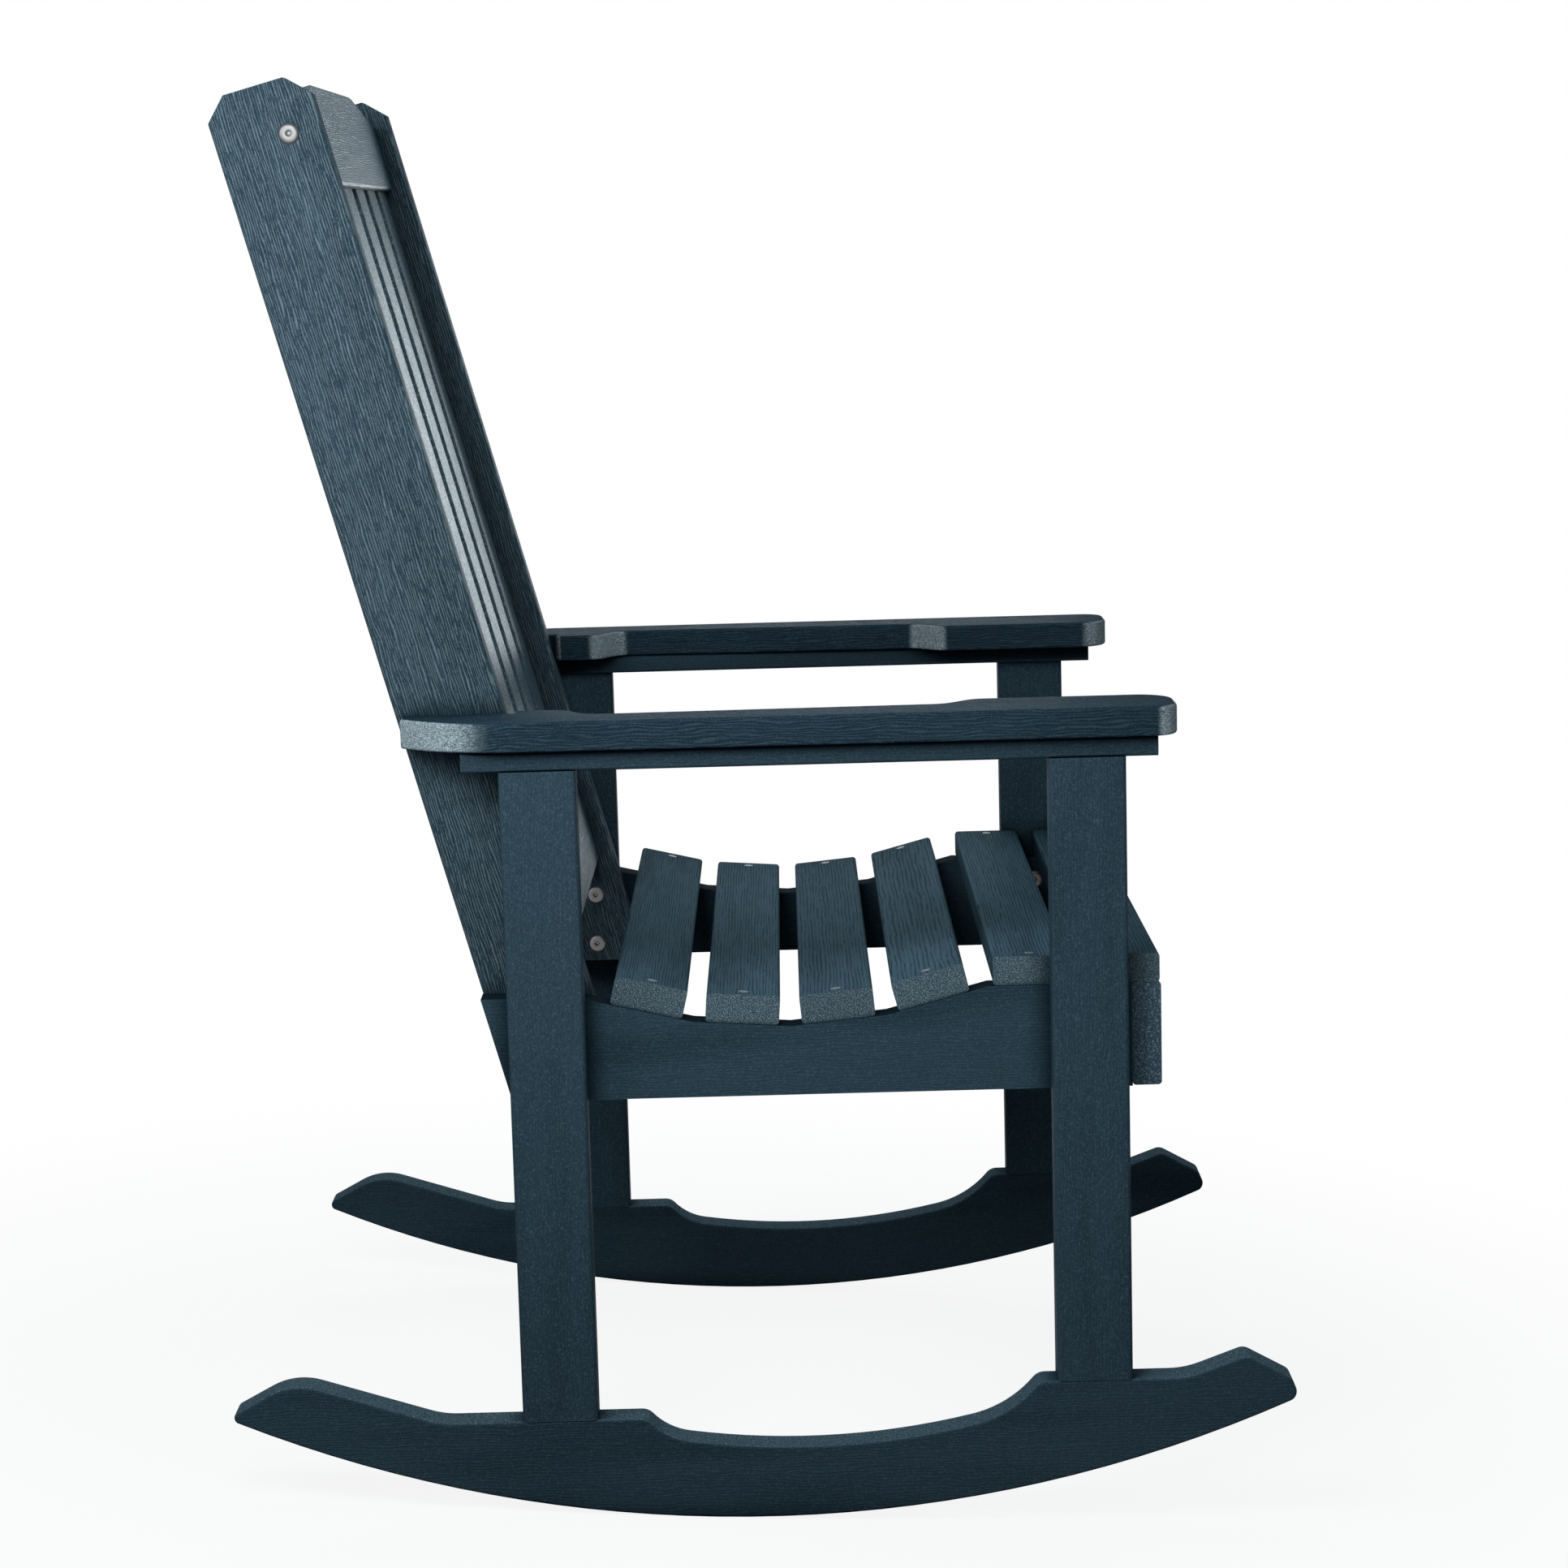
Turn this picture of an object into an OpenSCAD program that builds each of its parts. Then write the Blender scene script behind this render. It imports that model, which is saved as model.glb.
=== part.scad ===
// Outdoor rocking chair of recycled plastic lumber, millimetres.
// Each piece is drawn in a side view: x is forward, y is up from the floor line
// and z is outward to the sitter's left. posed() turns that into the part's frame:
// +Z up, the front towards -Y, the origin on the floor where the runners touch it.

/* [Board stock] */
// Thickness of the frame boards and the seat slats
board_t = 23; // [19:0.5:26]
// Width of the frame boards
board_w = 82; // [76:1:90]
// Thickness of the legs and the runners
leg_t = 28; // [24:1:34]
// Width of the legs
leg_w = 59; // [50:1:68]
// Width of the seat slats and the back slats
slat_w = 57.5; // [50:0.5:60]
// Thickness of the back slats
back_slat_t = 12; // [9:0.5:13]
// Radius that eases the long edges of the boards
edge_r = 3; // [1:0.5:4]

/* [Width] */
// Clear width between the two back stiles
back_clear_w = 487; // [460:1:520]
// How far the seat slats and the apron stop short of the seat rails' outer faces
slat_setback = 2.5; // [1:0.5:6]

/* [Runners] */
// Radius of the rolling underside
runner_r = 1035; // [950:5:1200]
// Rear tip, behind the middle of the rolling arc
rear_tip_back = 426; // [415:1:440]
// Radius of the rear tip
rear_tip_r = 5; // [3:0.5:6]
// Crown of the rear tail, behind the middle
rear_hump_back = 373; // [360:1:385]
// Height of the rear tail's crown
rear_hump_up = 120; // [114:1:126]
// Radius of the rear tail's crown
rear_hump_r = 50; // [30:1:60]
// Foot of the rear tail, where the flat rear pad starts
rear_foot_back = 257.5; // [245:0.5:270]
// Radius at the foot of both tails
foot_r = 70; // [40:1:90]
// Height of the flat pad that carries the rear leg
rear_pad_up = 83; // [79:1:90]
// Height of the flat pad that carries the front leg
front_pad_up = 105; // [100:1:112]
// Height of the valley between the pads, at its lowest
valley_up = 57; // [48:1:61]
// Place of the valley's lowest point, ahead of the middle
valley_fore = 28; // [15:1:40]
// Radius of the valley's floor
valley_r = 600; // [560:5:700]
// Radius of the sweep from the valley up to the rear pad
rear_sweep_r = 50; // [40:1:60]
// Centre of the rear sweep, behind the middle
rear_sweep_back = 56; // [45:1:60]
// Radius of the sweep from the valley up to the front pad
front_sweep_r = 90; // [70:1:100]
// Centre of the front sweep, ahead of the middle
front_sweep_fore = 140; // [120:1:140]
// Radius of the lip at the edge of each pad
lip_r = 12; // [6:1:16]
// Foot of the front tail, where the flat front pad ends
front_foot_fore = 328; // [318:1:335]
// Peak of the front tail, ahead of the middle
front_peak_fore = 374.5; // [368:0.5:382]
// Height of the front tail's peak
front_peak_up = 122; // [118:1:128]
// Radius of the front tail's peak
front_peak_r = 10; // [5:1:16]
// Nose of the front tail, ahead of the middle
front_nose_fore = 409.5; // [404:0.5:412]
// Height of the nose
front_nose_up = 102.5; // [99:0.5:106]
// Radius of the nose and of the front tip
front_nose_r = 8; // [4:0.5:9]
// Front tip, ahead of the middle
front_tip_fore = 415.5; // [413:0.5:420]

/* [Legs and arms] */
// Rear face of the rear leg, behind the middle
rear_leg_back = 193.5; // [185:0.5:200]
// Front face of the front leg, ahead of the middle
front_leg_fore = 285; // [279:1:292]
// Height of the legs' tops
leg_top_up = 598; // [560:1:640]
// Thickness of the arm supports
support_t = 16; // [12:0.5:20]
// Width of the arm supports
support_w = 36.5; // [31:0.5:42]
// How far the arm support runs past the rear leg
support_overrun_rear = 28; // [20:0.5:36]
// How far the arm support runs past the front leg
support_overrun_front = 24.5; // [16:0.5:32]
// Thickness of the arms
arm_t = 23; // [19:0.5:26]
// How far the arm stands out past the leg
arm_overhang = 6.5; // [3:0.5:12]
// Width of the arm's broad front
arm_front_w = 72; // [66:1:80]
// Width of the arm at the rear of its waist
arm_waist_rear_w = 42; // [38:1:48]
// Width of the arm at the front of its waist
arm_waist_front_w = 48; // [42:1:54]
// Rear end of the arm, behind the middle
arm_rear_back = 269.5; // [262:0.5:272]
// Front end of the arm, ahead of the middle
arm_front_fore = 325; // [315:1:335]
// Radius of the heel sawn off the arm's rear corner
arm_heel_r = 115; // [105:1:125]
// Where the heel starts, behind the middle
arm_heel_back = 184; // [180:1:190]
// Rear end of the waist, behind the middle
arm_waist_back = 126; // [118:1:130]
// Front end of the waist, ahead of the middle
arm_waist_fore = 148; // [140:1:156]
// Length of the slope at the rear end of the waist
arm_slope_rear = 20; // [16:1:24]
// Length of the slope at the front end of the waist
arm_slope_front = 24; // [20:1:30]
// Radius inside and outside each bend of the waist
arm_bend_r = 20; // [10:1:24]
// Radius of the arm's outer front corner
arm_outer_corner_r = 19; // [10:1:26]
// Radius of the arm's inner front corner
arm_inner_corner_r = 28; // [16:1:32]
// Gap between the arm and the stile that it wraps
arm_stile_gap = 0.5; // [0.3:0.1:0.9]

/* [Seat] */
// Height of the underside of the seat rails
rail_up = 334; // [320:1:345]
// How far the rails' front ends stand ahead of the front legs
rail_nose = 5; // [2:0.5:8]
// Gap between neighbouring seat slats
slat_gap = 14.5; // [10:0.5:16]
// Radius of the dished part of the seat
seat_r = 440; // [400:5:500]
// Lowest point of the dish, ahead of the middle
seat_dish_fore = 19.5; // [14:0.5:24]
// Depth of the dish below the flat front of the seat rail
seat_dip = 26; // [24:0.5:28]
// Angle that the dished slats are rolled forward
seat_roll = 0.6; // [0:0.1:1]
// How far the front slat stops short of the apron's face
slat_front_inset = 1; // [0:0.5:3]

/* [Back] */
// Angle that the back leans from the vertical
back_lean = 15; // [13:0.5:17]
// Rear corner of the stile's foot, behind the middle
stile_foot_back = 194; // [190:1:198]
// Length of the stile along its rear edge
stile_len = 800; // [740:5:860]
// Leg of the corner clipped off each side of the stile's top
stile_clip = 17.5; // [8:0.5:24]
// Setback of the cross boards behind the stiles' front edges
cross_setback = 14; // [8:0.5:18]
// Height along the back of the lower cross board's bottom edge
lower_board_along = 81.5; // [80:0.5:95]
// Half width of the flat middle of the head board's top
head_flat_half = 119; // [90:1:150]
// Drop of the head board's top at the stiles
head_drop = 25; // [12:1:34]
// Thickness of the cross boards in front of the slat groove
groove_lip = 6; // [4:0.5:7]
// Depth of the groove that takes the slats' ends
groove_depth = 20; // [12:1:24]
// Gap round a slat in its groove
groove_gap = 0.3; // [0.2:0.1:0.4]
// Gap between neighbouring back slats
back_slat_gap = 24.7; // [20:0.1:26]

/* [Bolts] */
// Radius of a bolt's shank
bolt_r = 4; // [3:0.5:5]
// Radius of a bolt's button head
bolt_head_r = 7; // [6.5:0.5:8]
// Height of a bolt's button head
bolt_head_h = 4.4; // [3:0.2:5]
// Radius across the corners of the hexagon socket
bolt_socket_r = 2.9; // [2:0.1:3.2]
// Depth of the hexagon socket
bolt_socket_depth = 2.4; // [1.5:0.1:2.8]
// Gap round a bolt or a screw in its hole
hole_gap = 0.25; // [0.15:0.05:0.4]
// Length of a bolt in the end grain of a cross board or a leg
bolt_bite = 52; // [40:1:60]
// Length of a frame bolt in the side of a leg
leg_bolt_bite = 20; // [15:0.5:21]
// Height of the lower frame bolt above the rail's underside
frame_bolt_up = 16; // [13:1:20]
// Distance between the two frame bolts of a leg
frame_bolt_pitch = 46; // [38:1:50]
// Place of the rear frame bolts ahead of the rear leg's rear face
rear_bolt_in = 39.5; // [34:0.5:44]
// Wood between a runner bolt's head and the pad above it
runner_grip = 38; // [30:1:42]
// Radius of the counterbore under a runner
counterbore_r = 9; // [8.5:0.5:10]
// Distance between the two fasteners in a leg's end
leg_end_pitch = 30; // [24:1:34]

/* [Screws] */
// Radius of a screw's shank
screw_r = 2.2; // [1.8:0.1:2.6]
// Radius of a screw's countersunk head
screw_head_r = 4; // [3.4:0.1:4.6]
// Depth of a screw's countersunk head
screw_head_h = 2.6; // [2:0.1:3.2]
// Length of the seat slats' screws
slat_screw_len = 40; // [34:1:42]
// Place of the seat slats' screws, in from a slat's end
slat_screw_in = 12; // [8:0.5:15]
// Length of the apron's screws
apron_screw_len = 45; // [36:1:46]
// Length of the screws down into the legs
leg_screw_len = 60; // [45:1:70]
// Length of the screws up into the arms
arm_screw_len = 32; // [26:1:34]
// Radius of the small screws behind the back slats
pin_screw_r = 1.75; // [1.4:0.05:2]
// Radius of the small screws' heads
pin_head_r = 3.2; // [2.6:0.1:3.6]
// Depth of the small screws' heads
pin_head_h = 2; // [1.6:0.1:2.4]
// Length of the small screws
pin_screw_len = 13; // [10:0.5:14]

/* [Pose] */
// Tilt at which the chair balances on its runners, front raised
rest_tilt = 3.04; // [0:0.01:4]

/* [Hidden] */
$fn = 96;
// Overrun of cuts past the faces that they leave
over = 2;
// Largest gap between a polygon's chord and its arc
arc_sag = 0.05;
slate = "#31434d";
steel = "#b9bcc0";

// Shares of a board's width at which the apron's screws stand
apron_screw_shares = [0.25, 0.65];
// Shares of the space between the legs at which the arm's screws stand
arm_screw_shares = [0.15, 0.5, 0.85];

// Planes across the chair, from the middle outwards
stile_in = back_clear_w / 2;
stile_out = stile_in + board_t;
rail_out = stile_out + board_t;
leg_out = rail_out + leg_t;
arm_out = leg_out + arm_overhang;
leg_mid = leg_out - leg_t / 2;
support_mid = leg_out - support_w / 2;
slat_half = rail_out - slat_setback;

// Heights
rail_top = rail_up + board_w;
support_top = leg_top_up + support_t;
arm_top = support_top + arm_t;

// Places along the chair
rear_leg_mid = leg_w / 2 - rear_leg_back;
front_leg_mid = front_leg_fore - leg_w / 2;
rail_front = front_leg_fore + rail_nose;
apron_front = rail_front + board_t;
rear_bolt_fore = rear_bolt_in - rear_leg_back;

// The dish of the seat: the underside of the slats is tangent to this circle
dish_r = seat_r + board_t;
dish_centre = [seat_dish_fore, rail_top - seat_dip + dish_r];
slat_pitch = slat_w + slat_gap;
slat_step = 2 * atan(slat_pitch / 2 / seat_r);
dished_slats = 4;
slat_angles = [for (i = [0 : dished_slats - 1])
    seat_roll + (i - (dished_slats - 1) / 2) * slat_step];
front_slat_mid = apron_front - slat_front_inset - slat_w / 2;
flat_slat_mids = [front_slat_mid - slat_pitch, front_slat_mid];
seat_slats = dished_slats + len(flat_slat_mids);

// The back, in its own leaning frame: x is across the stile, y is along it
cross_front = board_w - cross_setback;
cross_rear = cross_front - board_t;
cross_mid = (cross_front + cross_rear) / 2;
head_bottom = stile_len - board_w;
head_mid = stile_len - board_w / 2;
lower_top = lower_board_along + board_w;
lower_mid = lower_board_along + board_w / 2;
slat_front = cross_front - groove_lip - groove_gap;
slat_rear = slat_front - back_slat_t;
slat_bottom = lower_top - groove_depth + groove_gap;
slat_top = head_bottom + groove_depth - groove_gap;
back_slats = 6;
back_pitch = slat_w + back_slat_gap;
back_slat_places = [for (i = [0 : back_slats - 1]) (i - (back_slats - 1) / 2) * back_pitch];
pin_alongs = [lower_top - groove_depth / 2, head_bottom + groove_depth / 2];

// Helpers for outlines

function unit(v) = v / norm(v);
function heading(from, to) = atan2(to.y - from.y, to.x - from.x);
function steps_for(r, turn) = max(2, ceil(abs(turn) / (2 * acos(1 - arc_sag / r))));

// Points along an arc about c from angle a0 to angle a1
function arc(c, r, a0, a1) =
    let (n = steps_for(r, a1 - a0))
    [for (i = [0 : n]) let (a = a0 + (a1 - a0) * i / n) c + r * [cos(a), sin(a)]];

// Points that round the corner p, which lies between a and b, to radius r
function rounded_corner(a, p, b, r) =
    let (
        u = unit(a - p),
        v = unit(b - p),
        half = acos(u * v) / 2,
        c = p + unit(u + v) * r / sin(half),
        a0 = heading(c, p + u * r / tan(half)),
        turn = (heading(c, p + v * r / tan(half)) - a0 + 540) % 360 - 180
    )
    arc(c, r, a0, a0 + turn);

// An open run of corners [x, y, r], each rounded to its r; the two ends are left out
function rounded_run(corners) = [
    for (i = [1 : len(corners) - 2])
        let (
            a = [corners[i - 1].x, corners[i - 1].y],
            p = [corners[i].x, corners[i].y],
            b = [corners[i + 1].x, corners[i + 1].y]
        )
        each corners[i].z > 0 ? rounded_corner(a, p, b, corners[i].z) : [p]
];

// The same for a closed loop of corners
function rounded_loop(corners) =
    rounded_run(concat([corners[len(corners) - 1]], corners, [corners[0]]));

// Helpers for placing and for board stock

// Turns a side view into the part's frame, at the attitude in which the chair balances
module posed() {
    translate([0, 0, runner_r])
        rotate([-rest_tilt, 0, 0])
            translate([0, 0, -runner_r])
                mirror([0, 1, 0])
                    rotate([90, 0, 90])
                        children();
}

module other_side() {
    mirror([0, 0, 1]) children();
}

module both_sides() {
    children();
    other_side() children();
}

// The leaning frame of the back, with its origin at the stile's rear foot
module leaning() {
    translate([-stile_foot_back, rail_up, 0])
        rotate(back_lean)
            children();
}

// Section of a board whose four long edges are eased
module board_section(w, t) {
    square([w - 2 * edge_r, t], center = true);
    square([w, t - 2 * edge_r], center = true);
    for (sx = [-1, 1], sy = [-1, 1])
        translate([sx * (w / 2 - edge_r), sy * (t / 2 - edge_r)])
            circle(r = edge_r);
}

// Board standing up: w forward, t across the chair
module upright(w, t, length) {
    rotate([-90, 0, 0]) linear_extrude(length) board_section(w, t);
}

// Board running forward: w across the chair, t up
module lengthwise(w, t, length) {
    rotate([0, 90, 0]) linear_extrude(length) board_section(w, t);
}

// Board running across the chair: w forward, t up
module crosswise(w, t, length) {
    linear_extrude(length, center = true) board_section(w, t);
}

// Fasteners, each with its head at the origin and its shank along z

module button_bolt(length) {
    dome_r = (bolt_head_r * bolt_head_r + bolt_head_h * bolt_head_h) / (2 * bolt_head_h);
    difference() {
        union() {
            intersection() {
                translate([0, 0, dome_r - bolt_head_h]) sphere(r = dome_r);
                translate([0, 0, -bolt_head_h]) cylinder(r = bolt_head_r, h = bolt_head_h);
            }
            cylinder(r = bolt_r, h = length);
        }
        translate([0, 0, -bolt_head_h - over])
            cylinder(r = bolt_socket_r, h = bolt_socket_depth + over, $fn = 6);
    }
}

module bolt_hole(length) {
    translate([0, 0, -over])
        cylinder(r = bolt_r + hole_gap, h = length + hole_gap + over);
}

module screw(length, shank_r = screw_r, head_r = screw_head_r, head_h = screw_head_h) {
    cylinder(r1 = head_r, r2 = shank_r, h = head_h);
    translate([0, 0, head_h]) cylinder(r = shank_r, h = length - head_h);
}

module screw_hole(length, shank_r = screw_r, head_r = screw_head_r, head_h = screw_head_h) {
    cylinder(r1 = head_r + hole_gap, r2 = shank_r + hole_gap, h = head_h);
    translate([0, 0, -over])
        cylinder(r = shank_r + hole_gap, h = length + hole_gap + over);
    translate([0, 0, -over]) cylinder(r = head_r + hole_gap, h = over);
}

// Where the fasteners stand. Each module draws its child at the places on the sitter's
// left, so that a fastener and its hole share one set of places.

module at_frame_bolts(fore, head_plane) {
    for (i = [0, 1])
        translate([fore, rail_up + frame_bolt_up + i * frame_bolt_pitch, head_plane])
            children();
}

module at_rear_frame_bolts() {
    at_frame_bolts(rear_bolt_fore, stile_in) children();
}

module at_front_frame_bolts() {
    at_frame_bolts(front_leg_mid, stile_out) children();
}

module at_cross_bolt(along) {
    leaning()
        translate([cross_mid, along, stile_out])
            rotate([180, 0, 0])
                children();
}

module at_runner_bolts(leg_mid_fore, pad_up) {
    for (s = [-1, 1])
        translate([leg_mid_fore + s * leg_end_pitch / 2, pad_up - runner_grip, leg_mid])
            rotate([-90, 0, 0])
                children();
}

module at_leg_top_screws(leg_mid_fore) {
    for (s = [-1, 1])
        translate([leg_mid_fore + s * leg_end_pitch / 2, support_top, support_mid])
            rotate([90, 0, 0])
                children();
}

module at_arm_screws() {
    rear = leg_w - rear_leg_back;
    front = front_leg_fore - leg_w;
    for (share = arm_screw_shares)
        translate([rear + share * (front - rear), leg_top_up, support_mid])
            rotate([-90, 0, 0])
                children();
}

module at_apron_screws() {
    for (share = apron_screw_shares)
        translate([apron_front, rail_up + share * board_w, (stile_out + rail_out) / 2])
            rotate([0, -90, 0])
                children();
}

// Places a slat's child with x along the slat's width and y up from its underside
module at_seat_slat(i) {
    if (i < dished_slats)
        translate(dish_centre)
            rotate(slat_angles[i])
                translate([0, -dish_r])
                    children();
    else
        translate([flat_slat_mids[i - dished_slats], rail_top])
            children();
}

module at_slat_screw(i) {
    at_seat_slat(i)
        translate([0, board_t, slat_half - slat_screw_in])
            rotate([90, 0, 0])
                children();
}

module at_pin_screws(along) {
    leaning()
        for (place = back_slat_places)
            translate([cross_rear, along, place])
                rotate([0, 90, 0])
                    children();
}

// Holes that run on through several pieces

bolt_through_frame = 2 * board_t + leg_bolt_bite;
bolt_through_rail = board_t + leg_bolt_bite;
cross_bolt_len = board_t + bolt_bite;
runner_bolt_len = runner_grip + bolt_bite;

module frame_bolt_holes() {
    at_rear_frame_bolts() bolt_hole(bolt_through_frame);
    at_front_frame_bolts() bolt_hole(bolt_through_rail);
}

module cross_bolt_holes() {
    at_cross_bolt(head_mid) bolt_hole(cross_bolt_len);
    at_cross_bolt(lower_mid) bolt_hole(cross_bolt_len);
}

module runner_bolt_holes() {
    at_runner_bolts(rear_leg_mid, rear_pad_up) bolt_hole(runner_bolt_len);
    at_runner_bolts(front_leg_mid, front_pad_up) bolt_hole(runner_bolt_len);
}

module leg_top_holes() {
    at_leg_top_screws(rear_leg_mid) screw_hole(leg_screw_len);
    at_leg_top_screws(front_leg_mid) screw_hole(leg_screw_len);
}

module pin_holes() {
    for (along = pin_alongs)
        at_pin_screws(along) screw_hole(pin_screw_len, pin_screw_r, pin_head_r, pin_head_h);
}

// Runner

// Height of the rolling arc above the floor line at a distance from its middle
function arc_up(fore) = runner_r - sqrt(runner_r * runner_r - fore * fore);

// Where the arc's tangents at the two tips meet, below the runner
runner_pole =
    let (
        rear = asin(rear_tip_back / runner_r),
        front = asin(front_tip_fore / runner_r),
        mid = (front - rear) / 2,
        reach = runner_r / cos((front + rear) / 2)
    )
    [reach * sin(mid), runner_r - reach * cos(mid)];

valley_centre = [valley_fore, valley_up + valley_r];

// Centre of a sweep of radius r that runs smoothly out of the valley's floor
function sweep_centre(fore, r) =
    [fore, valley_centre.y - sqrt(pow(valley_r - r, 2) - pow(fore - valley_fore, 2))];

// Centre of the lip between a pad and a sweep, on the side that the sign gives
function lip_centre(sweep, r, pad_up, side) =
    let (up = pad_up - lip_r)
    [sweep.x + side * sqrt(pow(r + lip_r, 2) - pow(sweep.y - up, 2)), up];

function runner_top() =
    let (
        rear_sweep = sweep_centre(-rear_sweep_back, rear_sweep_r),
        front_sweep = sweep_centre(front_sweep_fore, front_sweep_r),
        rear_lip = lip_centre(rear_sweep, rear_sweep_r, rear_pad_up, -1),
        front_lip = lip_centre(front_sweep, front_sweep_r, front_pad_up, 1),
        rear_exit = heading(rear_lip, rear_sweep),
        front_exit = heading(front_lip, front_sweep),
        rear_join = 360 + heading(valley_centre, rear_sweep),
        front_join = 360 + heading(valley_centre, front_sweep)
    )
    concat(
        [runner_pole],
        rounded_run([
            [runner_pole.x, runner_pole.y, 0],
            [-rear_tip_back, arc_up(rear_tip_back), rear_tip_r],
            [-rear_hump_back, rear_hump_up, rear_hump_r],
            [-rear_foot_back, rear_pad_up, foot_r],
            [rear_lip.x, rear_pad_up, 0]
        ]),
        arc(rear_lip, lip_r, 90, rear_exit),
        arc(rear_sweep, rear_sweep_r, rear_exit + 180, rear_join),
        arc(valley_centre, valley_r, rear_join, front_join),
        arc(front_sweep, front_sweep_r, front_join, front_exit + 180),
        arc(front_lip, lip_r, front_exit, 90),
        rounded_run([
            [front_lip.x, front_pad_up, 0],
            [front_foot_fore, front_pad_up, foot_r],
            [front_peak_fore, front_peak_up, front_peak_r],
            [front_nose_fore, front_nose_up, front_nose_r],
            [front_tip_fore, arc_up(front_tip_fore), front_nose_r],
            [runner_pole.x, runner_pole.y, 0]
        ])
    );

module runner() {
    color(slate) difference() {
        intersection() {
            translate([0, runner_r, rail_out]) cylinder(r = runner_r, h = leg_t, $fn = 720);
            translate([0, 0, rail_out - over]) linear_extrude(leg_t + 2 * over) polygon(runner_top());
        }
        runner_bolt_holes();
        for (place = [[rear_leg_mid, rear_pad_up], [front_leg_mid, front_pad_up]])
            at_runner_bolts(place[0], place[1])
                translate([0, 0, -place[1]])
                    cylinder(r = counterbore_r, h = place[1]);
    }
}

// Legs and arms

module leg(mid_fore, pad_up) {
    color(slate) difference() {
        translate([mid_fore, pad_up, leg_mid]) upright(leg_w, leg_t, leg_top_up - pad_up);
        frame_bolt_holes();
        runner_bolt_holes();
        leg_top_holes();
    }
}

module arm_support() {
    color(slate) difference() {
        translate([-rear_leg_back - support_overrun_rear, leg_top_up + support_t / 2, support_mid])
            lengthwise(
                support_w, support_t,
                rear_leg_back + front_leg_fore + support_overrun_rear + support_overrun_front
            );
        leg_top_holes();
        at_arm_screws() screw_hole(arm_screw_len);
    }
}

// Front edge of the leaning stile at a height above the floor line
function stile_front_at(up) =
    board_w / cos(back_lean) - stile_foot_back - (up - rail_up) * tan(back_lean);

// Rear edge of the same
function stile_rear_at(up) = -stile_foot_back - (up - rail_up) * tan(back_lean);

// Plan of the arm: x is forward and y is outward from the chair's middle
function arm_plan() =
    let (
        shoulder = stile_front_at(support_top) + arm_stile_gap,
        broad_in = arm_out - arm_front_w,
        heel_centre = [-arm_heel_back, arm_out - arm_heel_r],
        heel_end = 180 - acos((arm_rear_back - arm_heel_back) / arm_heel_r)
    )
    concat(
        arc(heel_centre, arm_heel_r, 90, heel_end),
        rounded_run([
            [-arm_rear_back, arm_out, 0],
            [-arm_rear_back, stile_out + arm_stile_gap, 0],
            [shoulder, stile_out + arm_stile_gap, 0],
            [shoulder, broad_in, 2 * edge_r],
            [-arm_waist_back - arm_slope_rear, broad_in, arm_bend_r],
            [-arm_waist_back, arm_out - arm_waist_rear_w, arm_bend_r],
            [arm_waist_fore, arm_out - arm_waist_front_w, arm_bend_r],
            [arm_waist_fore + arm_slope_front, broad_in, arm_bend_r],
            [arm_front_fore, broad_in, arm_inner_corner_r],
            [arm_front_fore, arm_out, arm_outer_corner_r],
            [-arm_heel_back, arm_out, 0]
        ])
    );

module arm() {
    color(slate) difference() {
        translate([0, arm_top, 0])
            rotate([90, 0, 0])
                linear_extrude(arm_t)
                    polygon(arm_plan());
        at_arm_screws() screw_hole(arm_screw_len);
    }
}

// Seat

// Where the underside of a dished slat, carried on, comes up to the rail's flat top
function dish_meets_top(angle) =
    dish_centre.x + (dish_r - (dish_centre.y - rail_top) * cos(angle)) / sin(angle);

function rail_outline() = concat(
    [
        [rail_front, rail_up],
        [stile_rear_at(rail_up), rail_up],
        [stile_rear_at(rail_top), rail_top],
        [dish_meets_top(slat_angles[0]), rail_top]
    ],
    [
        for (i = [0 : dished_slats - 2])
            let (a = slat_angles[i] + slat_step / 2)
            dish_centre + dish_r / cos(slat_step / 2) * [sin(a), -cos(a)]
    ],
    [
        [dish_meets_top(slat_angles[dished_slats - 1]), rail_top],
        [rail_front, rail_top]
    ]
);

module seat_rail() {
    color(slate) difference() {
        translate([0, 0, stile_out]) linear_extrude(board_t) polygon(rail_outline());
        frame_bolt_holes();
        at_apron_screws() screw_hole(apron_screw_len);
        for (i = [0 : seat_slats - 1])
            at_slat_screw(i) screw_hole(slat_screw_len);
    }
}

module seat_slat(i) {
    color(slate) difference() {
        at_seat_slat(i) translate([0, board_t / 2, 0]) crosswise(slat_w, board_t, 2 * slat_half);
        both_sides() at_slat_screw(i) screw_hole(slat_screw_len);
    }
}

module apron() {
    color(slate) difference() {
        translate([rail_front + board_t / 2, rail_up + board_w / 2, 0])
            crosswise(board_t, board_w, 2 * slat_half);
        both_sides() at_apron_screws() screw_hole(apron_screw_len);
    }
}

// Back

module stile() {
    stock = stile_len + board_w;
    color(slate) difference() {
        leaning()
            translate([board_w / 2, stile_len - stock, (stile_in + stile_out) / 2])
                upright(board_w, board_t, stock);
        translate([-stile_foot_back - board_w, rail_up - 2 * board_w, stile_in - over])
            cube([3 * board_w, 2 * board_w, board_t + 2 * over]);
        leaning()
            translate([0, 0, stile_in - over])
                linear_extrude(board_t + 2 * over) {
                    polygon([
                        [-over, stile_len - stile_clip - over],
                        [stile_clip + over, stile_len + over],
                        [-over, stile_len + over]
                    ]);
                    polygon([
                        [board_w + over, stile_len - stile_clip - over],
                        [board_w - stile_clip - over, stile_len + over],
                        [board_w + over, stile_len + over]
                    ]);
                }
        frame_bolt_holes();
        cross_bolt_holes();
    }
}

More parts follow.
